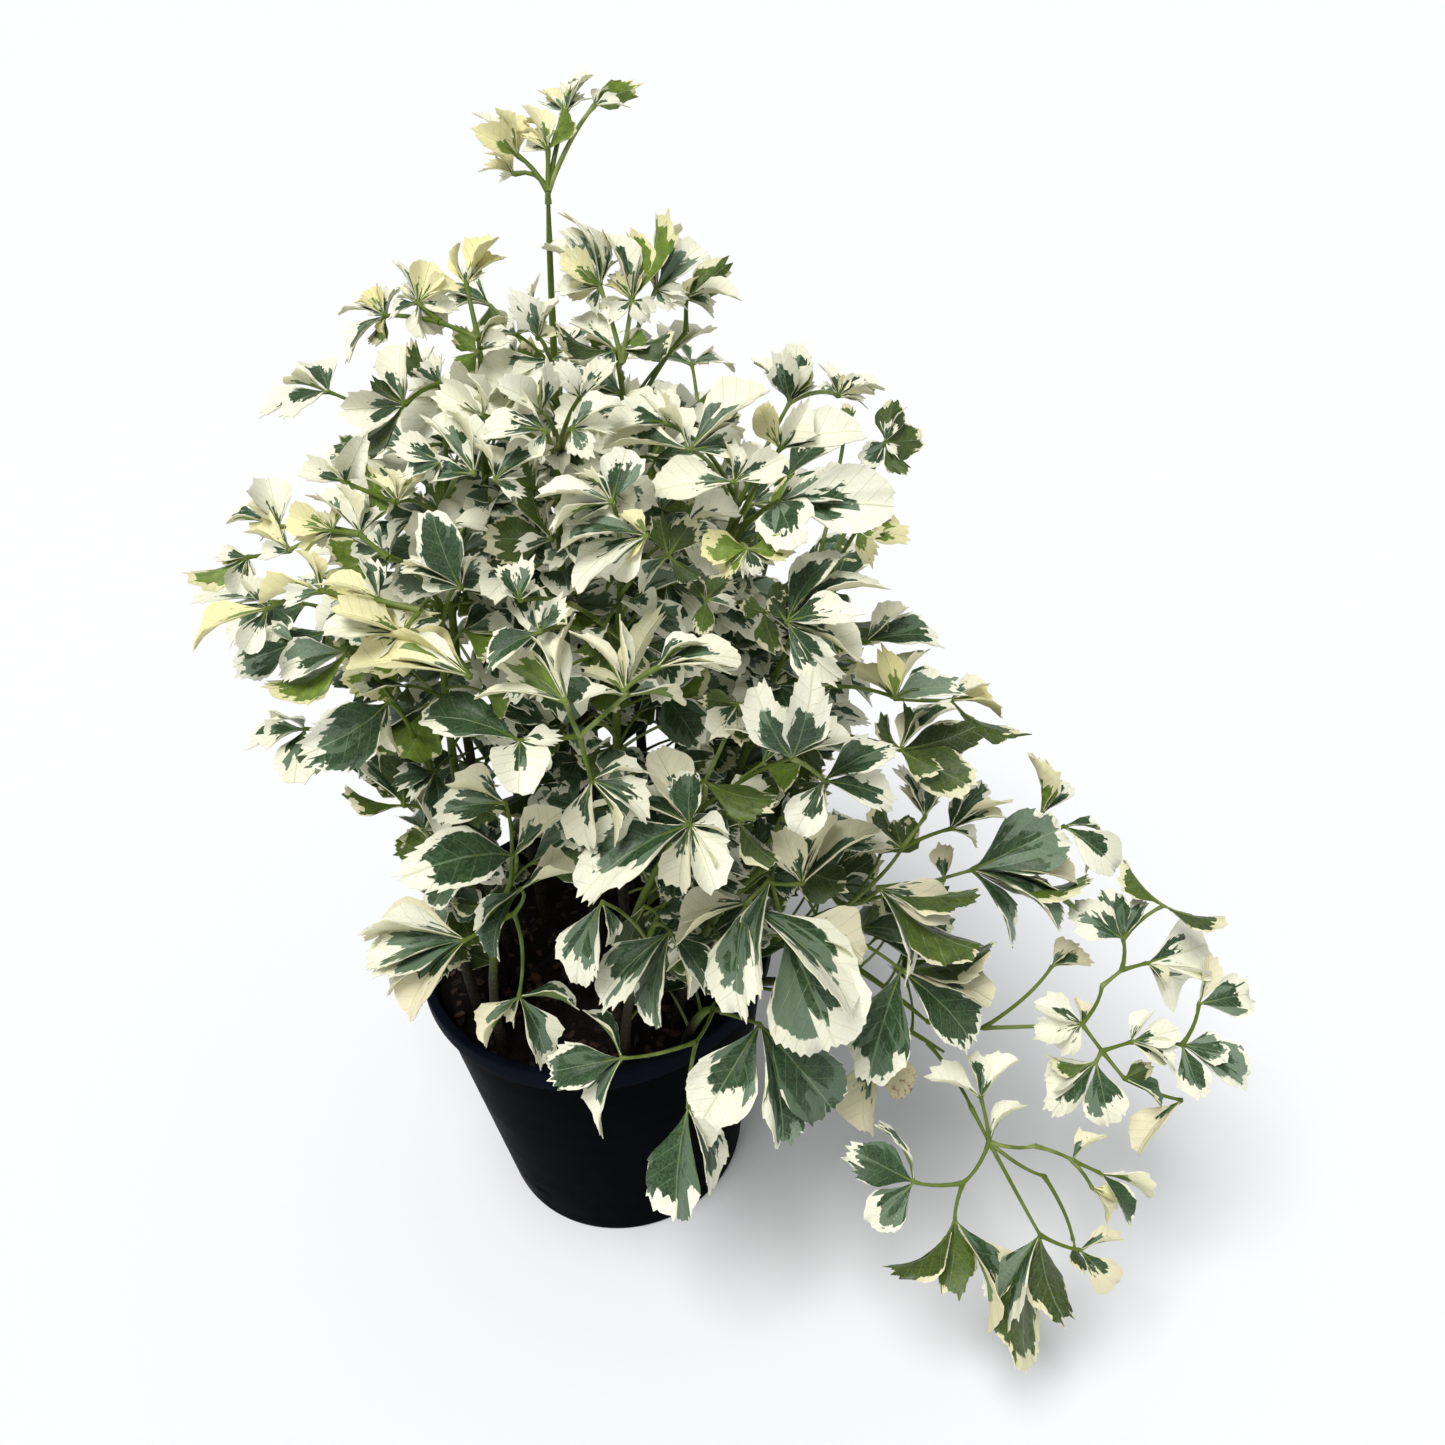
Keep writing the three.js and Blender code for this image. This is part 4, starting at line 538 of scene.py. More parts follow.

# A row without an indent is a stem: its foot in mm, then its top in the photo and how
# far, in mm, that is behind the crown's near face. An indented row is a frond: the
# frond that it springs from (-1 is the cane), its place, and its leaflets, each with
# its tip, width and look. The looks are w fresh white, c cream, y young yellow,
# m mixed, g green, s silver, b broad silver, v young with an olive middle, n a narrow
# cream strap, o old with brown spots, and an underside, u in the light, painted as light
# shining through it, and d in the dark, painted as shade. A row that ends in a comma goes on below.
STEMS = """
leader foot 4 16 top 548 194 0
  -1 548 191 0
  0 514 174 0: 487 166 10 y, 494 153 8 y
  0 518 156 0: 476 131 12 y, 478 115 15 m, 502 112 10 y
  0 548 150 -4: 527 137 12 y, 563 109 18 u, 530 106 20 y
  0 566 112 0: 578 82 12 m, 592 75 9 m, 545 92 12 y
  0 594 106 0: 633 88 22 u
  -1 538 338 0: 529 308 8 y, 546 311 8 y, 535 283 14 s, 513 295 11 m, 557 300 11 m
top-left foot -26 22 top 480 350 25
  -1 478 338 8
  0 466 284 0: 465 245 12 y, 497 240 12 y, 501 256 12 y, 480 272 10 s
  0 440 322 0
  2 418 303 -4: 430 262 34 y, 442 330 32 c, 458 288 18 y, 392 316 12 g, 398 262 14 s
  2 385 316 4: 340 312 18 m, 347 357 14 m, 373 343 14 d, 368 289 20 y
top-right foot 26 24 top 622 372 35
  -1 622 362 22
  0 600 287 4: 572 213 14 s, 548 242 13 m, 565 254 12 y, 588 228 11 m, 560 292 20 w
  0 632 300 0: 661 216 15 u, 606 232 25 c, 600 309 20 w, 647 320 20 w
  0 656 290 0: 700 245 35 s, 672 230 28 c, 682 294 18 w
  -1 686 332 22
  4 686 298 10: 726 266 34 d, 737 298 13 c, 713 313 10 s
  -1 615 350 18: 672 335 18 d, 560 334 15 d
upper-left foot -42 6 top 446 440 45
  -1 440 384 20: 412 346 17 d
  0 405 405 4: 401 344 30 c, 374 384 26 d, 346 418 28 c, 335 450 20 d
  -1 474 474 6: 430 419 25 s, 452 410 16 w
  -1 442 462 0: 407 476 18 g, 398 440 30 c
  -1 397 502 4: 375 480 12 y, 388 468 12 y, 408 476 11 y, 432 474 14 y
  4 345 482 4: 302 470 25 c, 342 458 14 s, 375 446 20 w
left foot -44 -14 top 440 600 75
  -1 388 558 8
  0 360 534 4: 374 468 13 u
  1 280 527 4: 268 478 40 w, 226 523 12 s, 247 506 12 y
  1 333 531 0: 288 515 33 y, 305 552 11 y, 346 503 12 y
  1 290 550 8: 247 531 15 y
  4 248 557 6: 190 578 20 u, 235 593 30 w
  -1 420 610 2
  6 322 591 0: 302 550 10 y, 262 603 14 y
  7 268 609 0: 192 640 22 y
  6 378 600 -4: 325 581 20 y, 365 560 20 g
  -1 461 588 4: 405 568 22 g, 420 548 20 c, 455 511 24 g
  6 402 634 -4: 337 612 30 y, 325 641 15 w, 430 614 14 y
  -1 470 677 -4: 345 666 42 y
low-left foot -50 -36 top 430 760 75
  -1 348 652 22: 279 668 38 s, 273 694 28 u
  0 296 643 22: 235 666 40 s, 262 632 14 s
  -1 388 702 6: 305 742 64 g, 350 756 26 w, 394 750 20 c
  -1 404 806 24: 405 735 44 d, 347 788 22 d, 360 752 20 m
  -1 440 846 34: 397 846 36 d, 412 790 30 c
front-left foot -40 -52 top 516 868 40
  -1 514 856 6: 422 902 62 g, 560 812 30 c
  -1 505 803 18: 436 812 38 m, 452 786 16 c
  -1 514 914 30
  2 466 940 6: 366 962 38 m, 408 1016 42 c, 362 933 18 w
  2 520 889 8: 479 930 14 g, 493 957 26 g, 577 872 16 c
  2 519 996 6: 484 1044 20 c, 512 1022 11 c, 548 1062 36 m, 576 1004 10 g
crown foot 2 -8 top 556 430 40
  -1 540 412 4: 500 385 25 w, 531 368 14 s, 552 368 12 m
  -1 580 398 4: 568 361 22 w, 611 364 22 c
  -1 572 430 0: 618 400 20 m, 589 456 28 m, 607 430 16 w
  -1 546 431 0: 484 432 30 m
  -1 495 480 6: 548 450 25 s, 478 445 12 c, 523 474 14 m
  -1 484 416 8: 440 390 34 c, 468 378 14 w
  -1 552 540 46: 487 538 48 d, 530 462 34 d
centre foot 16 -30 top 622 560 60
  -1 612 502 0: 626 448 44 s, 583 476 13 m, 540 497 14 w, 553 529 12 m
  -1 647 536 0: 560 541 25 s, 574 587 30 w, 613 578 34 w
  -1 520 600 10: 501 567 22 g, 529 561 22 m
  -1 540 632 12: 561 599 24 m, 488 660 28 g
  -1 580 736 14
  4 566 702 2: 531 630 28 w, 484 668 25 m, 475 691 12 n, 561 628 12 n
  4 626 695 2: 575 632 13 n, 590 664 14 n, 613 627 12 n, 638 620 14 n, 586 694 14 m, 681 706 25 s
  6 656 668 4: 702 648 35 s, 741 660 28 c
  4 520 741 -4: 422 712 45 g, 518 794 58 w
  4 592 780 8: 645 772 12 m, 647 815 30 m, 588 846 22 c, 616 842 14 m
upper-right foot 34 6 top 740 500 60
  -1 668 424 4: 607 424 28 m, 648 396 16 w
  -1 690 450 4: 768 392 32 c, 738 430 12 m, 604 447 20 c
  -1 734 482 -4: 655 492 40 c, 781 458 34 c
  -1 780 449 -4: 766 404 25 y, 801 404 25 c, 862 428 40 w
  -1 778 502 -4: 840 495 30 s, 797 547 58 s
  -1 747 549 -4: 702 545 34 v, 722 573 20 v, 790 552 25 v, 757 574 18 m
  -1 790 402 14: 755 363 14 m, 780 353 12 m, 797 345 11 m, 810 366 12 s
  6 838 396 18: 825 367 12 m, 861 377 20 m, 883 387 11 w
right foot 50 -10 top 815 600 70
  -1 857 530 0: 906 536 28 v, 870 562 11 v, 822 468 48 w
  -1 885 442 14: 893 402 30 d, 921 440 38 d, 859 451 28 s, 906 473 18 d
  -1 787 622 2: 842 551 45 g, 879 580 15 m, 852 614 20 m, 835 678 30 m, 860 658 25 c, 770 598 18 d
  -1 866 642 16: 905 606 20 c, 937 635 30 g, 884 620 14 d
  -1 895 698 2: 884 652 22 y, 922 650 15 c, 858 670 12 y, 953 686 20 s
  4 950 700 4: 1021 730 14 d, 986 684 14 c
  -1 900 750 8: 945 700 18 m, 974 729 24 d, 970 786 50 d
front foot 8 -56 top 706 800 50
  -1 690 825 0: 645 758 45 c, 690 772 25 g, 600 801 25 m, 582 892 62 m, 725 832 14 w,
    679 888 34 c, 715 890 40 w
  -1 700 780 26: 775 800 42 d
  -1 792 758 0: 765 685 28 m, 801 682 28 m, 727 725 18 m, 850 735 28 m, 758 713 15 d
  2 824 781 0: 890 745 36 g, 894 791 38 m, 795 832 42 w
  -1 738 820 20: 776 862 26 d
front-right foot 34 -44 top 772 862 34
  -1 771 879 4
  0 746 903 0: 682 918 28 c, 675 939 19 c, 735 1015 54 m
  0 785 925 0: 835 1046 104 m, 863 959 38 c
  0 802 884 2: 783 829 35 c, 831 814 34 c, 876 824 28 c
low-front foot 12 -62 top 668 900 30
  -1 670 932 4: 600 1000 46 m, 650 1026 46 g, 708 985 30 g, 690 999 16 w
  -1 602 902 10: 575 983 46 m, 610 944 14 m
  -1 644 906 34: 634 958 40 d
over-rim foot 34 -56 top 722 1012 16
  -1 696 1042 -8
  0 622 1058 -10: 550 1072 46 g, 602 1132 32 m, 586 1013 12 g
  0 688 1108 -6: 676 1218 54 g, 717 1187 30 m, 708 1146 18 w
  -1 760 1024 -14: 703 1118 68 m, 782 1142 48 s, 832 1108 44 g
low-right foot 54 -32 top 866 900 30
  -1 901 970 0: 868 1080 66 g, 972 1042 56 g, 993 1000 36 c, 993 964 12 d
  -1 878 888 4: 935 960 48 m, 950 914 25 c, 976 950 34 d
  -1 902 848 10
  2 925 817 4: 900 770 15 m, 938 783 18 m
  2 950 829 2: 985 785 30 g, 1003 815 18 m
  -1 972 870 0: 1062 828 66 b, 1076 880 20 c, 1054 932 56 b
  5 1042 814 14: 1024 759 12 c, 1042 764 22 g, 1071 784 24 m
  5 1064 826 18: 1118 868 40 w, 1103 834 14 g
  -1 876 1046 16: 862 1132 44 c, 908 1094 34 o
arm foot 62 -14 top 930 1024 14
  -1 983 1028 -6
  0 1052 966 -10: 1076 944 22 c, 1090 964 18 c
  0 1082 1024 -16: 1037 1005 24 w, 1036 1034 28 w, 1060 1050 26 w, 1077 1000 10 c
  2 1102 986 -18
  3 1122 970 -20
  4 1123 939 -20: 1074 906 40 m, 1104 891 30 g, 1144 902 22 m
  5 1163 906 -18: 1125 861 14 d, 1225 921 14 d
  4 1147 963 -22: 1206 945 68 w, 1166 985 12 c
  2 1102 1051 -20
  8 1131 1042 -24: 1176 1030 28 w, 1179 1062 28 w, 1153 1015 20 w
  8 1124 1078 -20: 1151 1066 20 d, 1160 1106 12 g
  8 1096 1062 -20: 1052 1112 40 m, 1110 1124 44 m, 1051 1060 20 d
  9 1182 1045 -22: 1250 1080 40 s, 1201 1096 34 m
  12 1199 1004 -20: 1250 993 44 m, 1208 957 25 c
  10 1182 1100 -14: 1138 1153 26 c
trailing foot 46 -46 top 944 1052 10
  -1 971 1107 -16
  0 989 1142 -22: 1020 1104 9 w
  1 981 1098 -26: 932 1077 16 w, 968 1055 16 m, 1016 1058 20 w
  1 963 1183 -22
  3 914 1182 -22: 852 1150 44 g, 872 1226 42 m, 880 1127 16 g
  3 955 1220 -16: 948 1292 36 d, 896 1272 20 d, 993 1328 26 c
  1 1040 1235 -16: 1003 1328 42 s, 1062 1318 38 d, 1026 1366 38 d
  6 1080 1250 -14: 1116 1286 34 c, 1121 1240 12 c
  1 1044 1176 -12
  8 1073 1240 -2: 1086 1268 12 d
  1 1035 1146 -22
  10 1072 1160 -20: 1100 1138 14 c
  11 1100 1173 -18: 1147 1204 22 w, 1131 1223 20 g
  11 1092 1188 -18: 1107 1219 10 c, 1113 1198 12 y
"""
REAR_STEMS = {
    "side-left": ((-54, 20), (-79, 26, 330)),
    "rear-left": ((-30, 44), (-50, 70, 386)),
    "rear": ((4, 52), (8, 84, 398)),
    "rear-right": ((40, 40), (66, 66, 372)),
    "side-right": ((56, 14), (84, 32, 312)),
}


def chance(seed, kind):
    """A repeatable number from 0 to 1: the fraction of a large multiple of a sine."""
    wave = math.sin(seed * 12.9898 + kind * 78.233) * 43758.5453
    return wave - math.floor(wave)


def draw(low, high, seed, kind):
    """A repeatable number from low to high."""
    return low + (high - low) * chance(seed, kind)


def crown_distance(x, y):
    """From the eye to the crown's near face, which falls back as the square of x."""
    middle, half, near, edge = (np.interp(y, CROWN_FACE[:, 0], CROWN_FACE[:, k]) for k in (1, 2, 3, 4))
    off = min(1, abs(x - middle) / half)
    return near + (edge - near) * off * off


def curve(a, b, c, count):
    """Points of the quadratic curve from a to c that b pulls: (1-t)^2 a + 2t(1-t) b + t^2 c."""
    return [a * (1 - t) ** 2 + b * 2 * t * (1 - t) + c * t * t for t in np.linspace(0, 1, count + 1)]


def path_point(path, share):
    """The place at a share of a path, straight between its points."""
    step = min(share, 1) * (len(path) - 1)
    low = min(int(step), len(path) - 2)
    return path[low].lerp(path[low + 1], step - low)


def path_length(path):
    """The sum of the steps of a path."""
    return sum((b - a).length for a, b in zip(path, path[1:]))


def corner_tree(name):
    """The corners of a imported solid, in mm, to be asked which lie near a place."""
    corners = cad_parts[name].data.vertices
    tree = kdtree.KDTree(len(corners))
    for k, corner in enumerate(corners):
        tree.insert(corner.co * 1000, k)
    tree.balance()
    return tree


def has_ring(tree, point, radii, steps):
    """Whether corners of a solid lie round a point, at the radius a tube has one step on."""
    radius = radii[0] + (radii[1] - radii[0]) / steps
    return sum(distance > radius - NEAR for *_, distance in tree.find_range(point, radius + NEAR)) > 1


def find_cane(tree, foot, top):
    """The curve of a cane: the knee's lift and sway that a ring of the solid agrees with."""
    start = Vector((*foot, SOIL_TOP - ROOT_DEPTH))
    aside = Vector((start.y - top.y, top.x - start.x, 0)).normalized()
    rise = start.z + (top.z - start.z) * KNEE_RISE
    knee = Vector((foot[0] * KNEE_SPREAD, foot[1] * KNEE_SPREAD, rise))
    knees = [knee + Vector((0, 0, lift)) + aside * sway for lift in KNEE_LIFTS for sway in KNEE_SWAYS]
    fits = [b for b in knees if has_ring(tree, curve(start, b, top, CANE_STEPS)[1], CANE_RADII, CANE_STEPS)]
    return start, (fits or knees)[0], top


def cane_node(cane, hub):
    """Where a stalk leaves its cane: the least of its reach at an easy angle and the crowd."""
    best = None
    for k in range(CANE_PLACES + 1):
        start = path_point(cane.path, NODE_LOW + NODE_SPAN * k / CANE_PLACES)
        along = (cane.path[-1] - start).normalized()
        reach = max((hub - start).length, 1)
        crowd = sum(max(0, 1 - (start - other).length / CROWD_REACH) for other in cane.taken)
        angle = abs((hub - start).dot(along) / reach - EASY_ANGLE)
        cost = reach * (1 + ANGLE_COST * angle) + CROWD_COST * crowd
        if best is None or cost < best[0]:
            best = (cost, start, along)
    cane.taken.append(best[1])
    return best[1:]


def easy_middle(start, along, hub):
    """The middle of a stalk that leaves a cane easily: half way, and raised along the cane."""
    return start.lerp(hub, 0.5) + along * (hub - start).length * STALK_RISE


def find_stalk(tree, start, along, hub, seed):
    """The curve of a stalk: the first middle point that a ring of the solid agrees with."""
    reach = (hub - start).length
    easy = easy_middle(start, along, hub)
    count = 1 + sum(reach > length for length in STALK_LENGTHS)
    for attempt in range(STALK_TRIES):
        angle = chance(seed, 10 + attempt) * 2 * math.pi
        lift = chance(seed, 60 + attempt) - 0.4
        middle = easy + Vector((math.cos(angle), math.sin(angle), lift)) * (reach * STALK_STRAY * attempt)
        steps = max(count, 2) if attempt else count
        if steps > 1 and has_ring(tree, curve(start, middle, hub, steps)[1], STALK_RADII, steps):
            return middle, steps
    return (easy if count > 1 else start.lerp(hub, 0.5)), count


def lay_blade(leaf, push, roll, slide):
    """A leaflet's tip, and its forward, across and upward directions, for a bend."""
    sideways = leaf.view.cross(leaf.along).normalized()
    tip = leaf.tip + leaf.view * (push * leaf.length) + sideways * (slide * leaf.length)
    along = (tip - leaf.hub).normalized()
    level = (along * leaf.view.dot(along) - leaf.view).normalized()
    facing = Matrix.Rotation(leaf.turn + roll, 3, along) @ level
    up = -facing if leaf.look in "ud" else facing
    return tip, along, up.cross(along), up


def blade_corner(leaf, lie, k, way):
    """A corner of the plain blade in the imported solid."""
    tip, along, across, up = lie
    share, out = (BIG_RIM if leaf.half > BIG_HALF else SMALL_RIM)[k]
    length = (tip - leaf.hub).length
    rise = leaf.arch * length * 4 * share * (1 - share) + leaf.fold * abs(out) * leaf.half
    rise += leaf.wave * leaf.half * (1 if k % 2 else -1) * (out != 0) + way * BLADE_SKIN
    return leaf.hub + along * (share * length) + across * (out * leaf.half) + up * rise


def find_blade(tree, leaf):
    """How a leaflet lies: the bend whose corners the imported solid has, or the easy one."""
    for bend in BENDS:
        lie = lay_blade(leaf, *bend)
        if all(tree.find(blade_corner(leaf, lie, k, way))[2] < NEAR for k, way in BLADE_CHECKS):
            return lie
    return lay_blade(leaf, 0, 0, 0)


def make_leaf(hub, seen_tip, width, view, look, seed, inner=False):
    """A leaflet. One that looks short slants away, and one that looks narrow is turned."""
    seen = (seen_tip - hub).length
    length = max(seen, LEAST_LENGTH * width)
    full = max(width, LEAST_WIDTH * length)
    outward = Vector((hub.x, hub.y, -0.3 * math.hypot(hub.x, hub.y)))
    slant = math.sqrt(length * length - seen * seen)
    tip = seen_tip + view * (slant if outward.dot(view) > 0 else -slant)
    along = (tip - hub).normalized()
    turn = math.acos(min(1, width / full))
    turn = turn if view.cross(along).z > 0 else -turn
    return SimpleNamespace(
        hub=hub, tip=tip, view=view, along=along, length=length, half=full / 2, turn=turn, look=look,
        arch=draw(0.05, 0.14, seed, 1), fold=draw(0.1, 0.4, seed, 2), wave=draw(-0.1, 0.1, seed, 3),
        inner=inner, slim=SLIM if look == "n" else 1)


def photo_leaf(hub, x, y, wide, look, seed, distance):
    """A leaflet whose tip and width are those of the photo, at a distance from the eye."""
    tip = photo_point(x, y, distance)
    return make_leaf(hub, tip, wide * distance / PHOTO_FOCAL, (tip - EYE).normalized(), look, seed)


def lay(leaf, lie):
    """Sets how a leaflet lies."""
    leaf.tip, leaf.along, leaf.across, leaf.up = lie
    return leaf


def add_frond(stem, parent, hub, seed, place=None, tips=()):
    """A stalk from the cane or from another frond's end."""
    start, along = (parent.hub, parent.end) if parent else cane_node(stem, hub)
    middle, steps = find_stalk(stem.tree, start, along, hub, seed)
    end = (hub - curve(start, middle, hub, steps)[-2]).normalized()
    stem.nodes.append(SimpleNamespace(
        start=start, middle=middle, hub=hub, end=end, seen=True, place=place, tips=tips))
    return stem.nodes[-1]


def read_stems():
    """The stems by name, each with its top, its cane's curve and the rows of its fronds."""
    made = {}
    for line in STEMS.strip().replace(",\n", ",").splitlines():
        words = line.replace(":", " ").replace(",", " ").split()
        if line[0] != " ":
            x, y, behind = map(float, words[5:])
            top = photo_point(x, y, crown_distance(x, y) + behind)
            foot = (float(words[2]), float(words[3]))
            made["stem-" + words[0]] = SimpleNamespace(foot=foot, top=top, rear=False, rows=[])
            continue
        rows = [(*map(float, words[k:k + 3]), words[k + 3]) for k in range(4, len(words), 4)]
        made[list(made)[-1]].rows.append((int(words[0]), *map(float, words[1:4]), rows))
    for name, (foot, top) in REAR_STEMS.items():
        made["stem-" + name] = SimpleNamespace(foot=foot, top=Vector(top), rear=True, rows=[])
    for name, stem in made.items():
        stem.tree = corner_tree(name)
        stem.cane = find_cane(stem.tree, stem.foot, stem.top)
        stem.path = curve(*stem.cane, CANE_STEPS)
        stem.taken, stem.nodes, stem.leaves = [], [], []
    return made


def grow_rear(stem, seed):
    """The fronds of a stem at the side or rear, turned about its lean by golden angles."""
    lean = math.atan2(stem.top.y, stem.top.x)
    for k in range(REAR_FRONDS):
        turn = lean + math.sin(k * GOLDEN_ANGLE) * 1.1
        out = Vector((math.cos(turn), math.sin(turn), 0)) * draw(30, 46, seed, 4)
        start = path_point(stem.path, 0.5 + 0.5 * k / (REAR_FRONDS - 1))
        hub = start + out + Vector((0, 0, draw(8, 26, seed, 5)))
        seed += 1
        add_frond(stem, None, hub, seed)
        for j in range(REAR_LEAFLETS):
            seed += 1
            fan = turn + (j - (REAR_LEAFLETS - 1) / 2) * 0.75
            along = Vector((math.cos(fan), math.sin(fan), draw(-0.5, 0.35, seed, 6))).normalized()
            length = draw(19, 30, seed, 7)
            view = Vector((-math.cos(fan), -math.sin(fan), -1.4)).normalized()
            stem.leaves.append(make_leaf(hub, hub + along * length, length * 0.66, view, "m", seed))
    return seed


def grow_stems():
    """The fronds and leaflets that the solids have, each leaflet laid as its solid is."""
    made = read_stems()
    seed = 1
    for stem in made.values():
        for parent, x, y, behind, rows in stem.rows:
            distance = crown_distance(x, y) + behind
            seed += 1
            origin = None if parent < 0 else stem.nodes[parent]
            tips = [row[:2] for row in rows]
            node = add_frond(stem, origin, photo_point(x, y, distance), seed, (x, y), tips)
            for tip_x, tip_y, wide, look in rows:
                seed += 1
                stem.leaves.append(photo_leaf(node.hub, tip_x, tip_y, wide, look, seed, distance))
    for stem in made.values():
        if stem.rear:
            seed = grow_rear(stem, seed)
        stem.leaves = [lay(leaf, find_blade(stem.tree, leaf)) for leaf in stem.leaves]
    return made


stems = grow_stems()

# The small leaflets that the solids leave out. Single ones are grown on the fronds that
# are seen, then a pair on each frond of the upper crown, and then inner fronds, which
# spring from the canes by rule where the crown has room.
SMALL_LOOKS = "ywcmwm"
SMALL_TOP = 640
CELL = 5.0
INNER_STEP = 7.0
INNER_TRIES = 10
INNER_REACH = (9, 32)
INNER_LENGTH = (13, 27)
INNER_BEHIND = 6
INNER_MARGIN = 3
INNER_TOP = 440
INNER_LOOKS = "ddgdgdgsmumwcwww"
LOOK_HEIGHTS = (170, 430)
CROWD_SPAN = 62
CROWD_LEAST = 6
# Places where the photo shows its background through the crown: a pixel and a radius.
GAPS = np.array([
    [655, 368, 28], [276, 572, 24], [874, 954, 20], [905, 869, 20], [804, 464, 18], [808, 914, 18],
    [454, 641, 20], [520, 780, 20], [750, 429, 16], [320, 558, 14], [897, 729, 14], [826, 521, 14],
    [798, 595, 12], [471, 757, 13], [665, 623, 11], [650, 648, 11], [437, 651, 11], [377, 517, 10],
    [769, 832, 10], [596, 352, 10], [461, 471, 9], [780, 571, 11], [303, 617, 10], [872, 600, 16],
])
# A row names a stem and its frond, then a stalk's end if it has one of its own, and
# then its leaflets as above.
EXTRA = """
leader 4: 568 92 13 u, 546 100 10 s
leader 3: 532 120 13 y, 526 132 10 y
leader 2: 503 124 8 y
top-right 1: 575 266 11 c, 590 258 9 w, 612 262 13 s, 575 298 12 w, 594 312 13 m, 568 226 13 s
top-right 2: 614 272 11 m, 636 262 11 g, 650 276 13 c, 612 320 14 w, 655 310 16 w, 640 322 12 m, 632 238 13 u
top-right 3: 678 286 14 w, 640 268 10 w, 670 308 14 m, 684 304 13 s
top-right 6: 644 336 18 u, 590 330 15 u, 600 352 12 g, 606 366 14 m, 577 318 18 w
top-left 3: 404 284 12 c, 442 292 15 y, 452 310 14 c, 424 336 12 w, 399 298 9 w
top-left 4: 380 290 12 c, 396 290 10 w, 372 310 12 s, 360 302 8 y
top-left -1 478 352 20: 455 330 22 u, 462 364 26 u, 503 318 12 m, 507 338 12 w
left 1: 318 497 15 c, 336 510 14 m, 344 488 12 w
left 3: 318 514 13 y, 300 536 10 y
left 7: 346 574 15 y, 352 598 13 y
left 5: 246 580 14 w, 222 560 12 v
left 12: 380 640 20 y, 398 652 16 w
centre -1 668 556 22: 692 520 30 d, 660 520 24 d, 640 588 24 m, 700 578 20 d
centre 7: 722 664 14 w, 690 660 12 m
upper-right -1 706 600 24: 730 578 22 d, 690 580 18 d, 734 606 12 m, 700 634 22 d
upper-right -1 764 612 24: 792 590 30 d, 776 650 26 d, 742 604 22 d, 802 628 18 g
front -1 738 704 22: 704 698 24 d, 712 734 32 c, 768 690 20 o, 744 742 28 d
upper-right 7: 846 376 13 y, 862 400 12 w, 820 386 11 m, 874 394 10 c
upper-right 6: 814 384 12 m, 806 362 10 u, 770 372 10 w
right 1: 868 464 15 w, 900 410 18 g
right -1 846 424 22: 846 404 14 d, 830 440 18 w
low-right 5: 1018 938 30 b, 1066 906 34 b, 1088 886 14 d
low-right 1: 974 896 34 d, 914 906 18 w
low-right 1 944 880 6: 948 846 24 c
low-right 4: 964 798 16 g, 1012 800 10 c, 976 842 12 w
low-right 2: 880 800 28 d, 870 834 24 c, 894 822 18 d
right 6: 925 712 14 c, 938 770 30 d, 886 716 16 d, 905 706 12 d
front-left 3: 370 938 24 c, 386 986 26 m, 373 964 28 m
front-left 0: 424 872 34 m
centre 8: 548 770 24 m, 556 738 20 w
front-right 1: 858 1004 40 m
front-right 0: 752 990 32 m
low-right 7: 1088 868 18 s, 1082 850 14 s
low-right 3: 906 788 14 c, 918 780 12 g, 937 800 10 w
front 0: 718 866 18 w
front 3: 812 806 20 w
right 0: 882 526 22 v
right 2: 814 668 22 s
right 5: 1000 712 10 y
arm 7: 1188 982 54 w
arm 9: 1172 1056 28 w
arm 11: 1050 1086 28 w
arm 12: 1228 1054 34 s
"""


def leaf_place(leaf, share, out, slim=1, rise=0):
    """The middle of a blade: hub + along share + across out, raised by its arch, which
    is 4 share (1 - share), and by its fold, which is |out| with a rounded bottom."""
    half = leaf.half * slim
    length = (leaf.tip - leaf.hub).length
    hub, along, across, up = (np.array(v) for v in (leaf.hub, leaf.along, leaf.across, leaf.up))
    rise = rise + leaf.arch * length * 4 * share * (1 - share)
    rise = rise + leaf.fold * half * (np.sqrt(out * out + 0.01) - 0.1)
    flat = hub + np.multiply.outer(share * length, along) + np.multiply.outer(out * half, across)
    return flat + np.multiply.outer(rise, up)


def blade_cells(leaf):
    """The cells of space that a blade passes through."""
    share = np.repeat(np.linspace(0.25, 1, 6), 5)
    out = np.tile(np.linspace(-0.9, 0.9, 5), 6) * np.minimum(1, 1.6 * share)
    return set(map(tuple, np.floor(leaf_place(leaf, share, out) / CELL).astype(int)))


def seen_at(point):
    """The pixel that a place is seen at, and its distance along the view."""
    ray = point - EYE
    depth = ray.dot(view_ahead)
    scale = PHOTO_FOCAL / depth
    return PHOTO_SIDE / 2 + ray.dot(view_right) * scale, PHOTO_SIDE / 2 - ray.dot(view_up) * scale, depth


def add_small(stem, node, x, y, wide, look, seed):
    """A leaflet on a frond that is seen, leaning and rolled at random."""
    blade = photo_leaf(node.hub, x, y, wide, look, seed, (node.hub - EYE).dot(view_ahead))
    stem.leaves.append(lay(blade, lay_blade(blade, draw(-0.2, 0.5, seed, 1), draw(-0.5, 0.5, seed, 2), 0)))


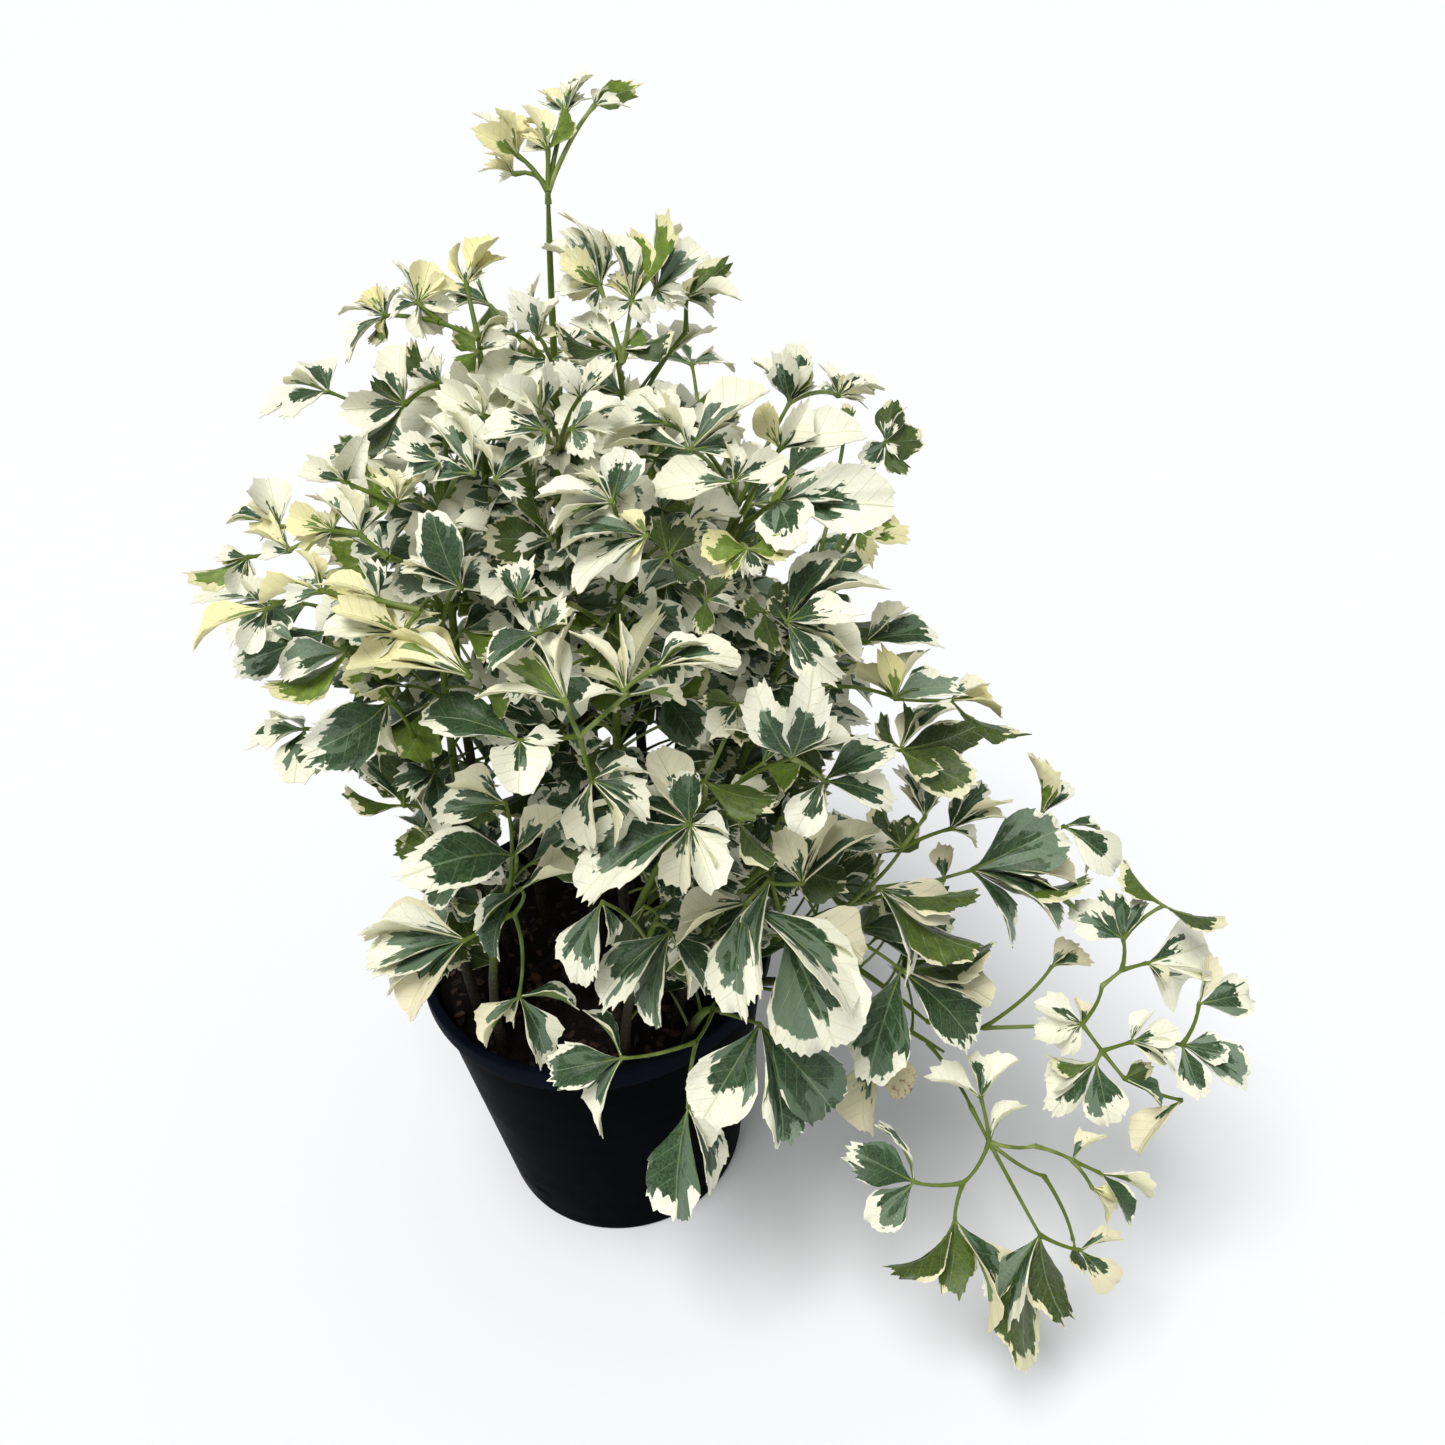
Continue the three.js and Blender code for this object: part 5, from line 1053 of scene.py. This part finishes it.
def grow_small(seed):
    """The leaflets of the rows, and then two beside the middle of each upper frond."""
    for line in EXTRA.strip().splitlines():
        head, tail = line.split(":")
        name, parent, *place = head.split()
        stem = stems["stem-" + name]
        node = stem.nodes[int(parent)]
        if place:
            x, y, behind = map(float, place)
            hub = photo_point(x, y, crown_distance(x, y) + behind)
            node = add_frond(stem, None if parent == "-1" else node, hub, seed)
        for leaflet in tail.split(","):
            x, y, wide, look = leaflet.split()
            seed += 1
            add_small(stem, node, float(x), float(y), float(wide), look, seed)
    for stem in stems.values():
        for node in stem.nodes:
            if not node.tips or node.place[1] > SMALL_TOP:
                continue
            reach = np.array(node.tips) - node.place
            way = math.atan2(*reach.sum(axis=0)[::-1])
            for j in (-1, 1):
                seed += 1
                turn = way + j * draw(0.2, 1.3, seed, 3)
                length = np.hypot(*reach.T).mean() * draw(0.4, 0.7, seed, 4)
                x, y = node.place[0] + length * math.cos(turn), node.place[1] + length * math.sin(turn)
                look = SMALL_LOOKS[int(chance(seed, 5) * len(SMALL_LOOKS))]
                add_small(stem, node, x, y, length * draw(0.4, 0.6, seed, 6), look, seed)


# The one large leaflet among them, white, at the right of the crown.
upper_right = stems["stem-upper-right"]
add_small(upper_right, upper_right.nodes[4], 893, 506, 56, "w", 4)
grow_small(3000)
grown = [leaf for stem in stems.values() for leaf in stem.leaves]
in_view = [leaf for stem in stems.values() if not stem.rear for leaf in stem.leaves]
taken_cells = set().union(*(blade_cells(leaf) for leaf in grown))
seen_middles = np.array([seen_at((leaf.hub + leaf.tip) / 2)[:2] for leaf in in_view])
low_corner, high_corner = (np.array(side) * 1000 for side in CAD_BOX)


def has_room(blade):
    """Whether a blade is in the solids' box, among the seen leaflets, behind the near ones
    and clear of the gaps."""
    x, y, depth = seen_at(blade.tip)
    tip = np.array(blade.tip)
    near = np.hypot(seen_middles[:, 0] - x, seen_middles[:, 1] - y) < CROWD_SPAN
    inside = (tip > low_corner + INNER_MARGIN).all() and (tip < high_corner - INNER_MARGIN).all()
    crowded = near.sum() >= CROWD_LEAST and blade.tip.z < INNER_TOP
    if not inside or not crowded or depth < crown_distance(x, y) + INNER_BEHIND:
        return False
    spread = leaf_place(blade, np.array([0.45, 1, 0.6, 0.6]), np.array([0, 0, 0.8, -0.8]))
    spots = np.array([seen_at(Vector(spot))[:2] for spot in spread])
    return (np.linalg.norm(spots[:, None] - GAPS[:, :2], axis=2) > GAPS[:, 2]).all()


def inner_frond(start, turn, seed):
    """A frond's hub and its leaflets, fanned round the way that its stalk points."""
    reach = draw(*INNER_REACH, seed, 1)
    out = Vector((math.cos(turn), math.sin(turn), draw(0.2, 1.3, seed, 2))).normalized()
    hub = start + out * reach
    count = 3 + int(3 * chance(seed, 3))
    low, high = LOOK_HEIGHTS
    height = np.clip((hub.z - low) / (high - low), 0, 1) ** 2.3
    blades = []
    for j in range(count):
        fan = turn + (j - (count - 1) / 2) * draw(0.5, 0.85, seed, 20 + j)
        along = Vector((math.cos(fan), math.sin(fan), draw(-0.6, 0.5, seed, 30 + j))).normalized()
        length = draw(*INNER_LENGTH, seed, 40 + j)
        view = Vector((-0.7 * math.cos(fan), 0.35 - 0.7 * math.sin(fan), -1.3)).normalized()
        # The look follows the height: low inner fronds mostly take the dark looks, whose d is painted shade,
        # and high ones the pale looks.
        look = INNER_LOOKS[int((0.45 * chance(seed, 50 + j) + 0.54 * height) * len(INNER_LOOKS))]
        width = length * draw(0.55, 0.8, seed, 60 + j)
        blade = make_leaf(hub, hub + along * length, width, view, look, seed + j, True)
        lay(blade, lay_blade(blade, 0, 0, 0))
        if has_room(blade) and not blade_cells(blade) & taken_cells:
            blades.append(blade)
    return hub, blades


def grow_inner(seed):
    """At each step up a cane, the frond with the most leaflets of several tries."""
    for stem in stems.values():
        length = path_length(stem.path)
        low = 0.13 if stem.rear else 0.3
        for k in range(int(length * (0.98 - low) / INNER_STEP)):
            share = (k + chance(k, seed)) * INNER_STEP / length
            start = path_point(stem.path, low + share)
            tries = []
            for j in range(INNER_TRIES):
                seed += 1
                tries.append(inner_frond(start, (k + j * 0.1) * GOLDEN_ANGLE + j * 0.63, seed))
            hub, blades = max(tries, key=lambda frond: len(frond[1]))
            if len(blades) > 1:
                middle = easy_middle(start, (stem.path[-1] - start).normalized(), hub)
                stem.nodes.append(SimpleNamespace(start=start, middle=middle, hub=hub, seen=False))
                stem.leaves += blades
                taken_cells.update(*(blade_cells(blade) for blade in blades))


grow_inner(5000)

# The wood: canes of greenish brown bark with rings where old fronds fell, and thin
# green stalks with swollen joints. A small stalk carries on under each leaflet as its
# midrib. All the wood of a stem is one mesh of tubes.
CREASE = 60
WOOD_SIDES = 9
THIN_SIDES = 5
THIN_RADIUS = 0.8
CANE_POINTS = 60
SCAR_STEP = 17
SCAR_HEIGHT = 0.3
STALK_STEP = 3.5
SWELL_HEIGHT = 0.3
SEEN_GIRTH = 0.66
INNER_GIRTH = 0.5
MIDRIB = np.array([[0, 0.75], [0.08, 0.55], [0.25, 0.4], [0.5, 0.2]])
MIDRIB_DEPTH = 0.22
STALK_GREEN = linear("586a22")
STALK_PALE = linear("8b985a")
BARK_BROWN = linear("211d14")
BARK_PALE = linear("38321f")


def tube(path, radii, sides):
    """A round tube: at each point of the path, r(cos a . side + sin a . across)."""
    path = np.array(path, float)
    along = np.gradient(path, axis=0)
    along /= np.linalg.norm(along, axis=1, keepdims=True)
    level = np.eye(3)[np.argmin(np.abs(path[-1] - path[0]))]
    side = level - along * (along @ level)[:, None]
    side /= np.linalg.norm(side, axis=1, keepdims=True)
    across = np.cross(along, side)
    angles = np.linspace(0, 2 * math.pi, sides, endpoint=False)
    ring = np.cos(angles)[None, :, None] * side[:, None] + np.sin(angles)[None, :, None] * across[:, None]
    points = (path[:, None] + ring * np.asarray(radii)[:, None, None]).swapaxes(0, 1).reshape(-1, 3)
    return points, wrapped(sides, len(path))


def cane_tube(stem):
    """A cane that thins evenly and more so at its tip, with a scar ring every 17 mm."""
    share = np.linspace(0, 1, CANE_POINTS + 1)
    radii = CANE_RADII[0] + (CANE_RADII[1] - CANE_RADII[0]) * share
    radii *= (0.86 - 0.26 * share ** 2) * np.minimum(1, 0.5 + 10 * (1 - share)) ** 0.6
    turns = share * path_length(stem.path) / SCAR_STEP * 2 * math.pi
    scars = np.maximum(0, np.cos(turns + stem.foot[0])) ** 10
    radii += SCAR_HEIGHT * scars * (1 - 0.5 * share)
    return curve(*stem.cane, CANE_POINTS), radii, np.clip(1.25 - 1.3 * share, 0, 1), 0.1


def stalk_tube(stem, k):
    """A stalk that thins evenly, with a swelling at each end that falls off as a bell."""
    node = stem.nodes[k]
    reach = (node.hub - node.start).length
    count = max(4, int(reach / STALK_STEP))
    share = np.linspace(0, 1, count + 1)
    swell = np.exp(-(share * reach / 2.2) ** 2) + np.exp(-((1 - share) * reach / 1.5) ** 2)
    radii = STALK_RADII[0] + (STALK_RADII[1] - STALK_RADII[0]) * share
    radii = radii * (SEEN_GIRTH if node.seen else INNER_GIRTH) + SWELL_HEIGHT * swell
    bark = 0.1 * chance(k, 30) * (1 - share)
    return curve(node.start, node.middle, node.hub, count), radii, bark, chance(k + stem.foot[0], 31) ** 2


def midrib_tube(leaf):
    """A midrib under a blade's middle, thinning over its first half."""
    share, radii = MIDRIB.T
    return leaf_place(leaf, share, 0 * share) - np.array(leaf.up) * MIDRIB_DEPTH, radii, 0 * share, 0.5


def wood_look():
    """Green that is paler in places, and brown bark by the share that each corner has."""
    finish = Finish("wood")
    place = finish.place()
    bark, pale, _ = finish.attribute("wood_tone").parts()
    speck = finish.noise(place, 600.0, 4.0, 0.6)
    cloud = finish.noise(place, 90.0, 3.0)
    green = finish.coats(STALK_GREEN, (pale * finish.step(cloud, 0.4, 0.6), STALK_PALE))
    brown = finish.coats(BARK_BROWN, (finish.step(speck, 0.45, 0.7), BARK_PALE))
    colour = finish.coats(green, (finish.step(bark + 0.5 * (speck - 0.5), 0.35, 0.65), brown))
    relief = finish.bump(speck * bark, 0.5, 0.0004)
    dull = 0.5 + 0.3 * bark
    return finish.surface(Base_Color=colour, Roughness=dull, Normal=relief, Specular_IOR_Level=0.2)


def add_vectors(piece, key, values):
    """An attribute of the piece's mesh, with a vector for each corner."""
    piece.data.attributes.new(key, "FLOAT_VECTOR", "POINT")
    piece.data.attributes[key].data.foreach_set("vector", values.astype(np.float32).ravel())


wood_material = wood_look()
for name, stem in stems.items():
    tubes = [cane_tube(stem)] + [stalk_tube(stem, k) for k in range(len(stem.nodes))]
    tubes += [midrib_tube(leaf) for leaf in stem.leaves]
    shapes, tones = [], []
    for path, radii, bark, pale in tubes:
        sides = WOOD_SIDES if radii[0] > THIN_RADIUS else THIN_SIDES
        shapes.append(tube(path, radii, sides))
        bark = np.tile(bark, sides)
        tones.append(np.stack([bark, np.full(len(bark), pale), np.zeros(len(bark))], 1))
    piece = add_piece(name + "-wood", *joined(shapes), "foliage", wood_material, CREASE, [name])
    add_vectors(piece, "wood_tone", np.concatenate(tones))

# The leaflets: thin blades, cream at the toothed and waved margin and green in jagged
# patches along the ribs. Each springs from its frond's end, and those of a stem are
# one mesh.
LEAF_THICK = 0.36
LEAF_SPAN = 112
LEAF_MIDDLE = 0.55
LOBES = (1.0, 1.09, 1.09, 1.06, 0.95, 0.8)
LOBE_ANGLES = (0, 23, 47, 71, 96, LEAF_SPAN)
TEETH_SPAN = math.radians(98)
TEETH_LENGTH = 0.9
PLAIN_LOOKS = "wcyno"
PLAIN_TEETH = 0.35
LARGE_HALF = 7
LEAF_HALVES = (LARGE_HALF, 10)
LEAF_COLUMNS = (21, 33, 45)
INNER_SAVING = 10
LARGE_RINGS = (0.03, 0.3, 0.58, 0.82, 1.0)
SMALL_RINGS = (0.03, 0.4, 0.76, 1.0)
PLEATS = 6
PLEAT_HEIGHT = 0.006
# Each look: its green share, its silver, its youth, its age and how far it is cupped. A
# youth below 0 paints shade, the dark green of the crown's shaded inside, and the u
# look's youth paints light shining through its underside.
LOOKS = {
    "w": (0.16, 0.5, 0, 0, 0.4), "c": (0.22, 0.4, 0, 0.7, 0.45), "y": (0.14, 0.2, 0.65, 0, 0.3),
    "m": (0.6, 0.5, 0, 0.1, 0.1), "g": (0.88, 0.2, 0, 0, 0.05), "s": (0.78, 0.9, 0, 0, 0.1),
    "u": (0.86, 0, 0.6, 0.2, 0.1), "d": (0.9, 0.1, -1, 0.3, 0.1), "n": (0.2, 0.4, 0.1, 0.3, 0.3),
    "v": (0.62, 0.1, 0.7, 0, 0.1), "o": (0.1, 0.2, 0, 1.6, 0.3), "b": (0.95, 0.7, 0, 0, 0.1),
}
OLIVE_EDGED = "v"
DEEP_DARK, DEEP_LIGHT = linear("1d3319"), linear("2f4c28")
PALE_GREEN, PALE_SILVER, PALE_SHADE = linear("42593d"), linear("82947f"), linear("4f6650")
# The second is the near-black green of painted shade in the crown's inside.
YOUNG_GREEN, PAINTED_SHADE_GREEN = linear("849c2e"), linear("121c07")
OLIVE_DARK, OLIVE_LIGHT = linear("4b600c"), linear("7b951c")
GREEN_BLOOM, GREEN_VEIN = linear("70866a"), linear("93ab84")
CREAM_FRESH, CREAM_OLD, CREAM_YOUNG = linear("eeeedc"), linear("dcd2ac"), linear("e6db82")
CREAM_UNDER, CREAM_VEIN, CREAM_BLOOM = linear("d2ce9c"), linear("c6c98f"), linear("d9d5a4")
BROWN_SPOT = linear("8f5d33")


def leaf_outline(leaf, columns, random):
    """The rim about the blade's middle: r(a) passes through lobes and notches, smoothly as
    half of 1 - cos, and the point at angle a is (middle + r cos a, r sin a)."""
    angle = np.linspace(-1, 1, columns) * math.radians(LEAF_SPAN)
    reach = np.zeros(columns)
    for way in (-1, 1):
        notch = random.uniform(0.0, 0.13) + 0.12 * (random.uniform() > 0.7)
        lobes = LOBES + random.uniform(-0.04, 0.04, 6)
        lobes[0] = LOBES[0]
        lobes[2] -= notch * (PLAIN_TEETH if leaf.look in PLAIN_LOOKS else 1)
        knots = np.array(LOBE_ANGLES, float)
        knots[1] += random.uniform(-5, 5)
        knots[2] += random.uniform(-7, 7)
        knots = np.radians(knots)
        low = np.clip(np.searchsorted(knots, np.abs(angle), "right") - 1, 0, 4)
        part = np.clip((np.abs(angle) - knots[low]) / (knots[low + 1] - knots[low]), 0, 1)
        part = (1 - np.cos(np.pi * part)) / 2
        reach = np.where(angle * way >= 0, lobes[low] + (lobes[low + 1] - lobes[low]) * part, reach)
    return angle, LEAF_MIDDLE + (1 - LEAF_MIDDLE) * np.cos(angle) * reach, np.sin(angle) * reach


def leaf_rise(leaf, angle, share, out, rings, random):
    """What lifts a blade off its arch and fold, in mm: margin waves as the cube of the
    ring, a cup as out squared, a curled tip, and pleats as a cosine down the blade."""
    length = (leaf.tip - leaf.hub).length
    half = leaf.half * leaf.slim
    cup = LOOKS[leaf.look][4] + 0.3 * (leaf.half <= LARGE_HALF)
    count = random.integers(3, 6)
    waves = np.sin(angle * count + random.uniform(0, 6.3)) * random.uniform(0.03, 0.12)
    waves += np.sin(angle * (count * 2 + 1) + random.uniform(0, 6.3)) * random.uniform(0.0, 0.03)
    rise = half * waves * rings[:, None] ** 3 + cup * random.uniform(0.3, 1.2) * half * out * out
    curl = random.uniform(-0.05, 0.3) if leaf.slim == 1 else random.uniform(-0.6, 0.6)
    rise -= curl * length * np.clip(share - 0.45, 0, 1) ** 2
    pleats = np.cos(2 * math.pi * PLEATS * (share - 0.35 * np.abs(out)))
    return rise + PLEAT_HEIGHT * length * pleats * rings[:, None]


def leaf_faces(rows, columns):
    """The faces of a blade: its two sides, and a wall all round between them."""
    grid = np.arange(rows * columns).reshape(rows, columns)
    top = np.stack([grid[:-1, :-1], grid[1:, :-1], grid[1:, 1:], grid[:-1, 1:]], -1).reshape(-1, 4)
    loop = np.concatenate([grid[0, ::-1], grid[1:, 0], grid[-1, 1:], grid[-2:0:-1, -1]])
    after = np.roll(loop, -1)
    wall = np.stack([after, loop, loop + grid.size, after + grid.size], -1)
    return np.concatenate([top, top[:, ::-1] + grid.size, wall])


def leaf_mesh(leaf, number):
    """A blade on a grid of rings s and columns t: s times the toothed rim, narrowed to a
    stalk near its hub, with its two faces a little apart. The vectors say where a corner
    is in the blade, what its markings are, how young or old it is, and the painted shade
    and painted light shining through it that it gets."""
    random = np.random.default_rng(number + 11)
    green, silver, youth_and_painted_light, age_and_painted_shade, _ = LOOKS[leaf.look]
    large = leaf.half > LARGE_HALF
    half = leaf.half * leaf.slim
    columns = LEAF_COLUMNS[sum(leaf.half > half for half in LEAF_HALVES)]
    columns -= INNER_SAVING * leaf.inner * large
    rings = np.array(LARGE_RINGS if large and not leaf.inner else SMALL_RINGS)
    angle, share_rim, out_rim = leaf_outline(leaf, columns, random)
    teeth = np.zeros(columns)
    teeth[1:-1:2] = random.uniform(0.0, 1.0, len(teeth[1:-1:2])) ** 2 * TEETH_LENGTH / half
    teeth *= (np.abs(angle) < TEETH_SPAN) * (PLAIN_TEETH if leaf.look in PLAIN_LOOKS and large else 1)
    scale = rings[:, None] * np.ones(columns)[None]
    scale[-1] += teeth - 0.01
    share = scale * share_rim
    out = scale * out_rim * np.clip(share / 0.42, 0.05, 1) ** 0.4
    out += random.uniform(-0.12, 0.12) * share * share
    rise = leaf_rise(leaf, angle, share, out, rings, random)
    middle = leaf_place(leaf, share, out, leaf.slim, rise)
    skin = np.array(leaf.up) * LEAF_THICK / 2
    points = np.concatenate([middle + skin, middle - skin]).reshape(-1, 3)
    rim = 1 - (1 - rings[:, None] ** 2.2) * (1 - np.abs(np.linspace(-1, 1, columns))[None] ** 7)
    flat = np.ones(share.size)
    place = np.stack([share.ravel(), out.ravel() * half / (leaf.tip - leaf.hub).length, flat * number], 1)
    # Leaflets high in the crown are less green, and lose up to 0.7 of their old cream, so that the darker
    # beige of the low ones paints shade besides their age.
    if leaf.look in "msg":
        green -= 0.16 * np.clip((leaf.hub.z - 250) / 200, 0, 1) + 0.03
    age_and_painted_shade *= 1 - 0.7 * np.clip((leaf.hub.z - 230) / 150, 0, 1)
    green = np.clip(green + random.uniform(-0.1, 0.1), 0.08, 0.97)
    tint = np.stack([rim.ravel(), flat * green, flat * silver], 1)
    youth_and_painted_light *= random.uniform(0.45, 1.1)
    # The under share: 1 on every underside, for painted light shining through it, and 0.85 on a v blade's top
    # for its own olive middle.
    olive_and_backlight = (0.85 * (leaf.look == OLIVE_EDGED), 1)
    aged_and_lit = np.concatenate([np.stack([flat * youth_and_painted_light, flat * age_and_painted_shade, flat * under], 1) for under in olive_and_backlight])
    return points, leaf_faces(len(rings), columns), np.tile(place, (2, 1)), np.tile(tint, (2, 1)), aged_and_lit


def leaf_patches(finish, x, y, z):
    """Two random numbers for each patch of a blade: a cell's colour, at three coordinates."""
    place = finish.node("ShaderNodeCombineXYZ", {}, {0: x, 1: y, 2: z})
    cells = finish.node("ShaderNodeTexVoronoi", {}, {"Vector": place, "Scale": 1.0}, 1)
    return cells.parts("Color")[:2]


def leaf_look():
    """Green where the share of green is more than the place's own number, which grows to
    the rim and jumps between sectors about the midrib and jags inside them."""
    finish = Finish("leaf")
    along, across, number = finish.attribute("leaf_place").parts()
    rim, share, silver = finish.attribute("leaf_tint").parts()
    # Youth with the painted shade and painted light, age with the painted shade, and the under share with its
    # painted light.
    youth_and_painted_light, age_and_painted_shade, under = finish.attribute("leaf_age_and_painted_light").parts()
    turn = finish.maths("ARCTAN2", across, along)
    sector, sector_tone = leaf_patches(finish, turn * 3.4, along * 1.1, number * 3.7)
    jag, jag_tone = leaf_patches(finish, turn * 11, along * 5, number * 2.3)
    spot_place = finish.node("ShaderNodeCombineXYZ", {}, {0: along * 9, 1: across * 9, 2: number * 5.3})
    spots = finish.noise(spot_place, 1.0, 4.0, 0.65)
    mottle = finish.noise(spot_place, 4.5, 3.0, 0.6)
    edge = rim + (sector - 0.5) * 0.5 + (jag - 0.5) * 0.2 + (spots - 0.5) * 0.22
    green_part = finish.step(share - edge, -0.012, 0.015)
    tone = sector_tone + (jag_tone - 0.5) * 0.35 + (spots - 0.5) * 0.5 - (rim - 0.4) * 0.7
    deep_part = finish.step(tone - 0.2 - silver * 0.42, -0.03, 0.05)
    rib = finish.step(abs(across), 0.012, 0.002)
    vein = finish.step(abs(finish.maths("PINGPONG", along - abs(across) * 0.9, 0.075)), 0.008, 0.002)
    lines = finish.maths("MINIMUM", rib + vein * 0.45, 1.0)

    deep = finish.coats(DEEP_DARK, (finish.step(spots, 0.35, 0.65), DEEP_LIGHT))
    # The olive that the under share coats paints light shining through an underside; on a v blade's top it is
    # its own olive middle.
    olive = finish.coats(OLIVE_DARK, (finish.step(spots, 0.3, 0.7), OLIVE_LIGHT))
    # The green's coats include painted shade, where a youth below 0 darkens the crown's inside, and painted
    # light, where the u look's youth lightens an underside.
    green = finish.coats(
        PALE_GREEN, (silver, PALE_SILVER), (finish.step(mottle, 0.38, 0.62) * 0.5, PALE_SHADE),
        (deep_part, deep), (youth_and_painted_light, YOUNG_GREEN), (under * 0.85, olive), (youth_and_painted_light * -0.75, PAINTED_SHADE_GREEN),
        (finish.step(mottle, 0.4, 0.7) * 0.3, GREEN_BLOOM), (lines * 0.45, GREEN_VEIN))
    cream = finish.coats(
        CREAM_FRESH, (age_and_painted_shade, CREAM_OLD), (youth_and_painted_light, CREAM_YOUNG), (under * 0.6, CREAM_UNDER),
        (lines * 0.35, CREAM_VEIN), (finish.step(mottle, 0.45, 0.75) * 0.35, CREAM_BLOOM),
        (finish.step(age_and_painted_shade * (spots + 0.2 * rim), 1.08, 1.3), BROWN_SPOT))
    relief = finish.bump(lines + 0.4 * spots + 0.5 * mottle, 0.5, 0.0006)
    return finish.surface(
        Base_Color=finish.coats(cream, (green_part, green)), Roughness=0.5 - 0.1 * green_part,
        Normal=relief, Specular_IOR_Level=0.3)


leaf_material = leaf_look()
number = 0
for name, stem in stems.items():
    parts = [leaf_mesh(leaf, number + k) for k, leaf in enumerate(stem.leaves, 1)]
    number += len(parts)
    starts = np.cumsum([0] + [len(part[0]) for part in parts[:-1]])
    faces = np.concatenate([part[1] + start for part, start in zip(parts, starts)])
    points, places, tints, ages_with_painted_light = (np.concatenate([part[k] for part in parts]) for k in (0, 2, 3, 4))
    piece = add_piece(name + "-leaflets", points, faces.tolist(), "foliage", leaf_material, CREASE, [name])
    for key, values in (("leaf_place", places), ("leaf_tint", tints), ("leaf_age_and_painted_light", ages_with_painted_light)):
        add_vectors(piece, key, values)
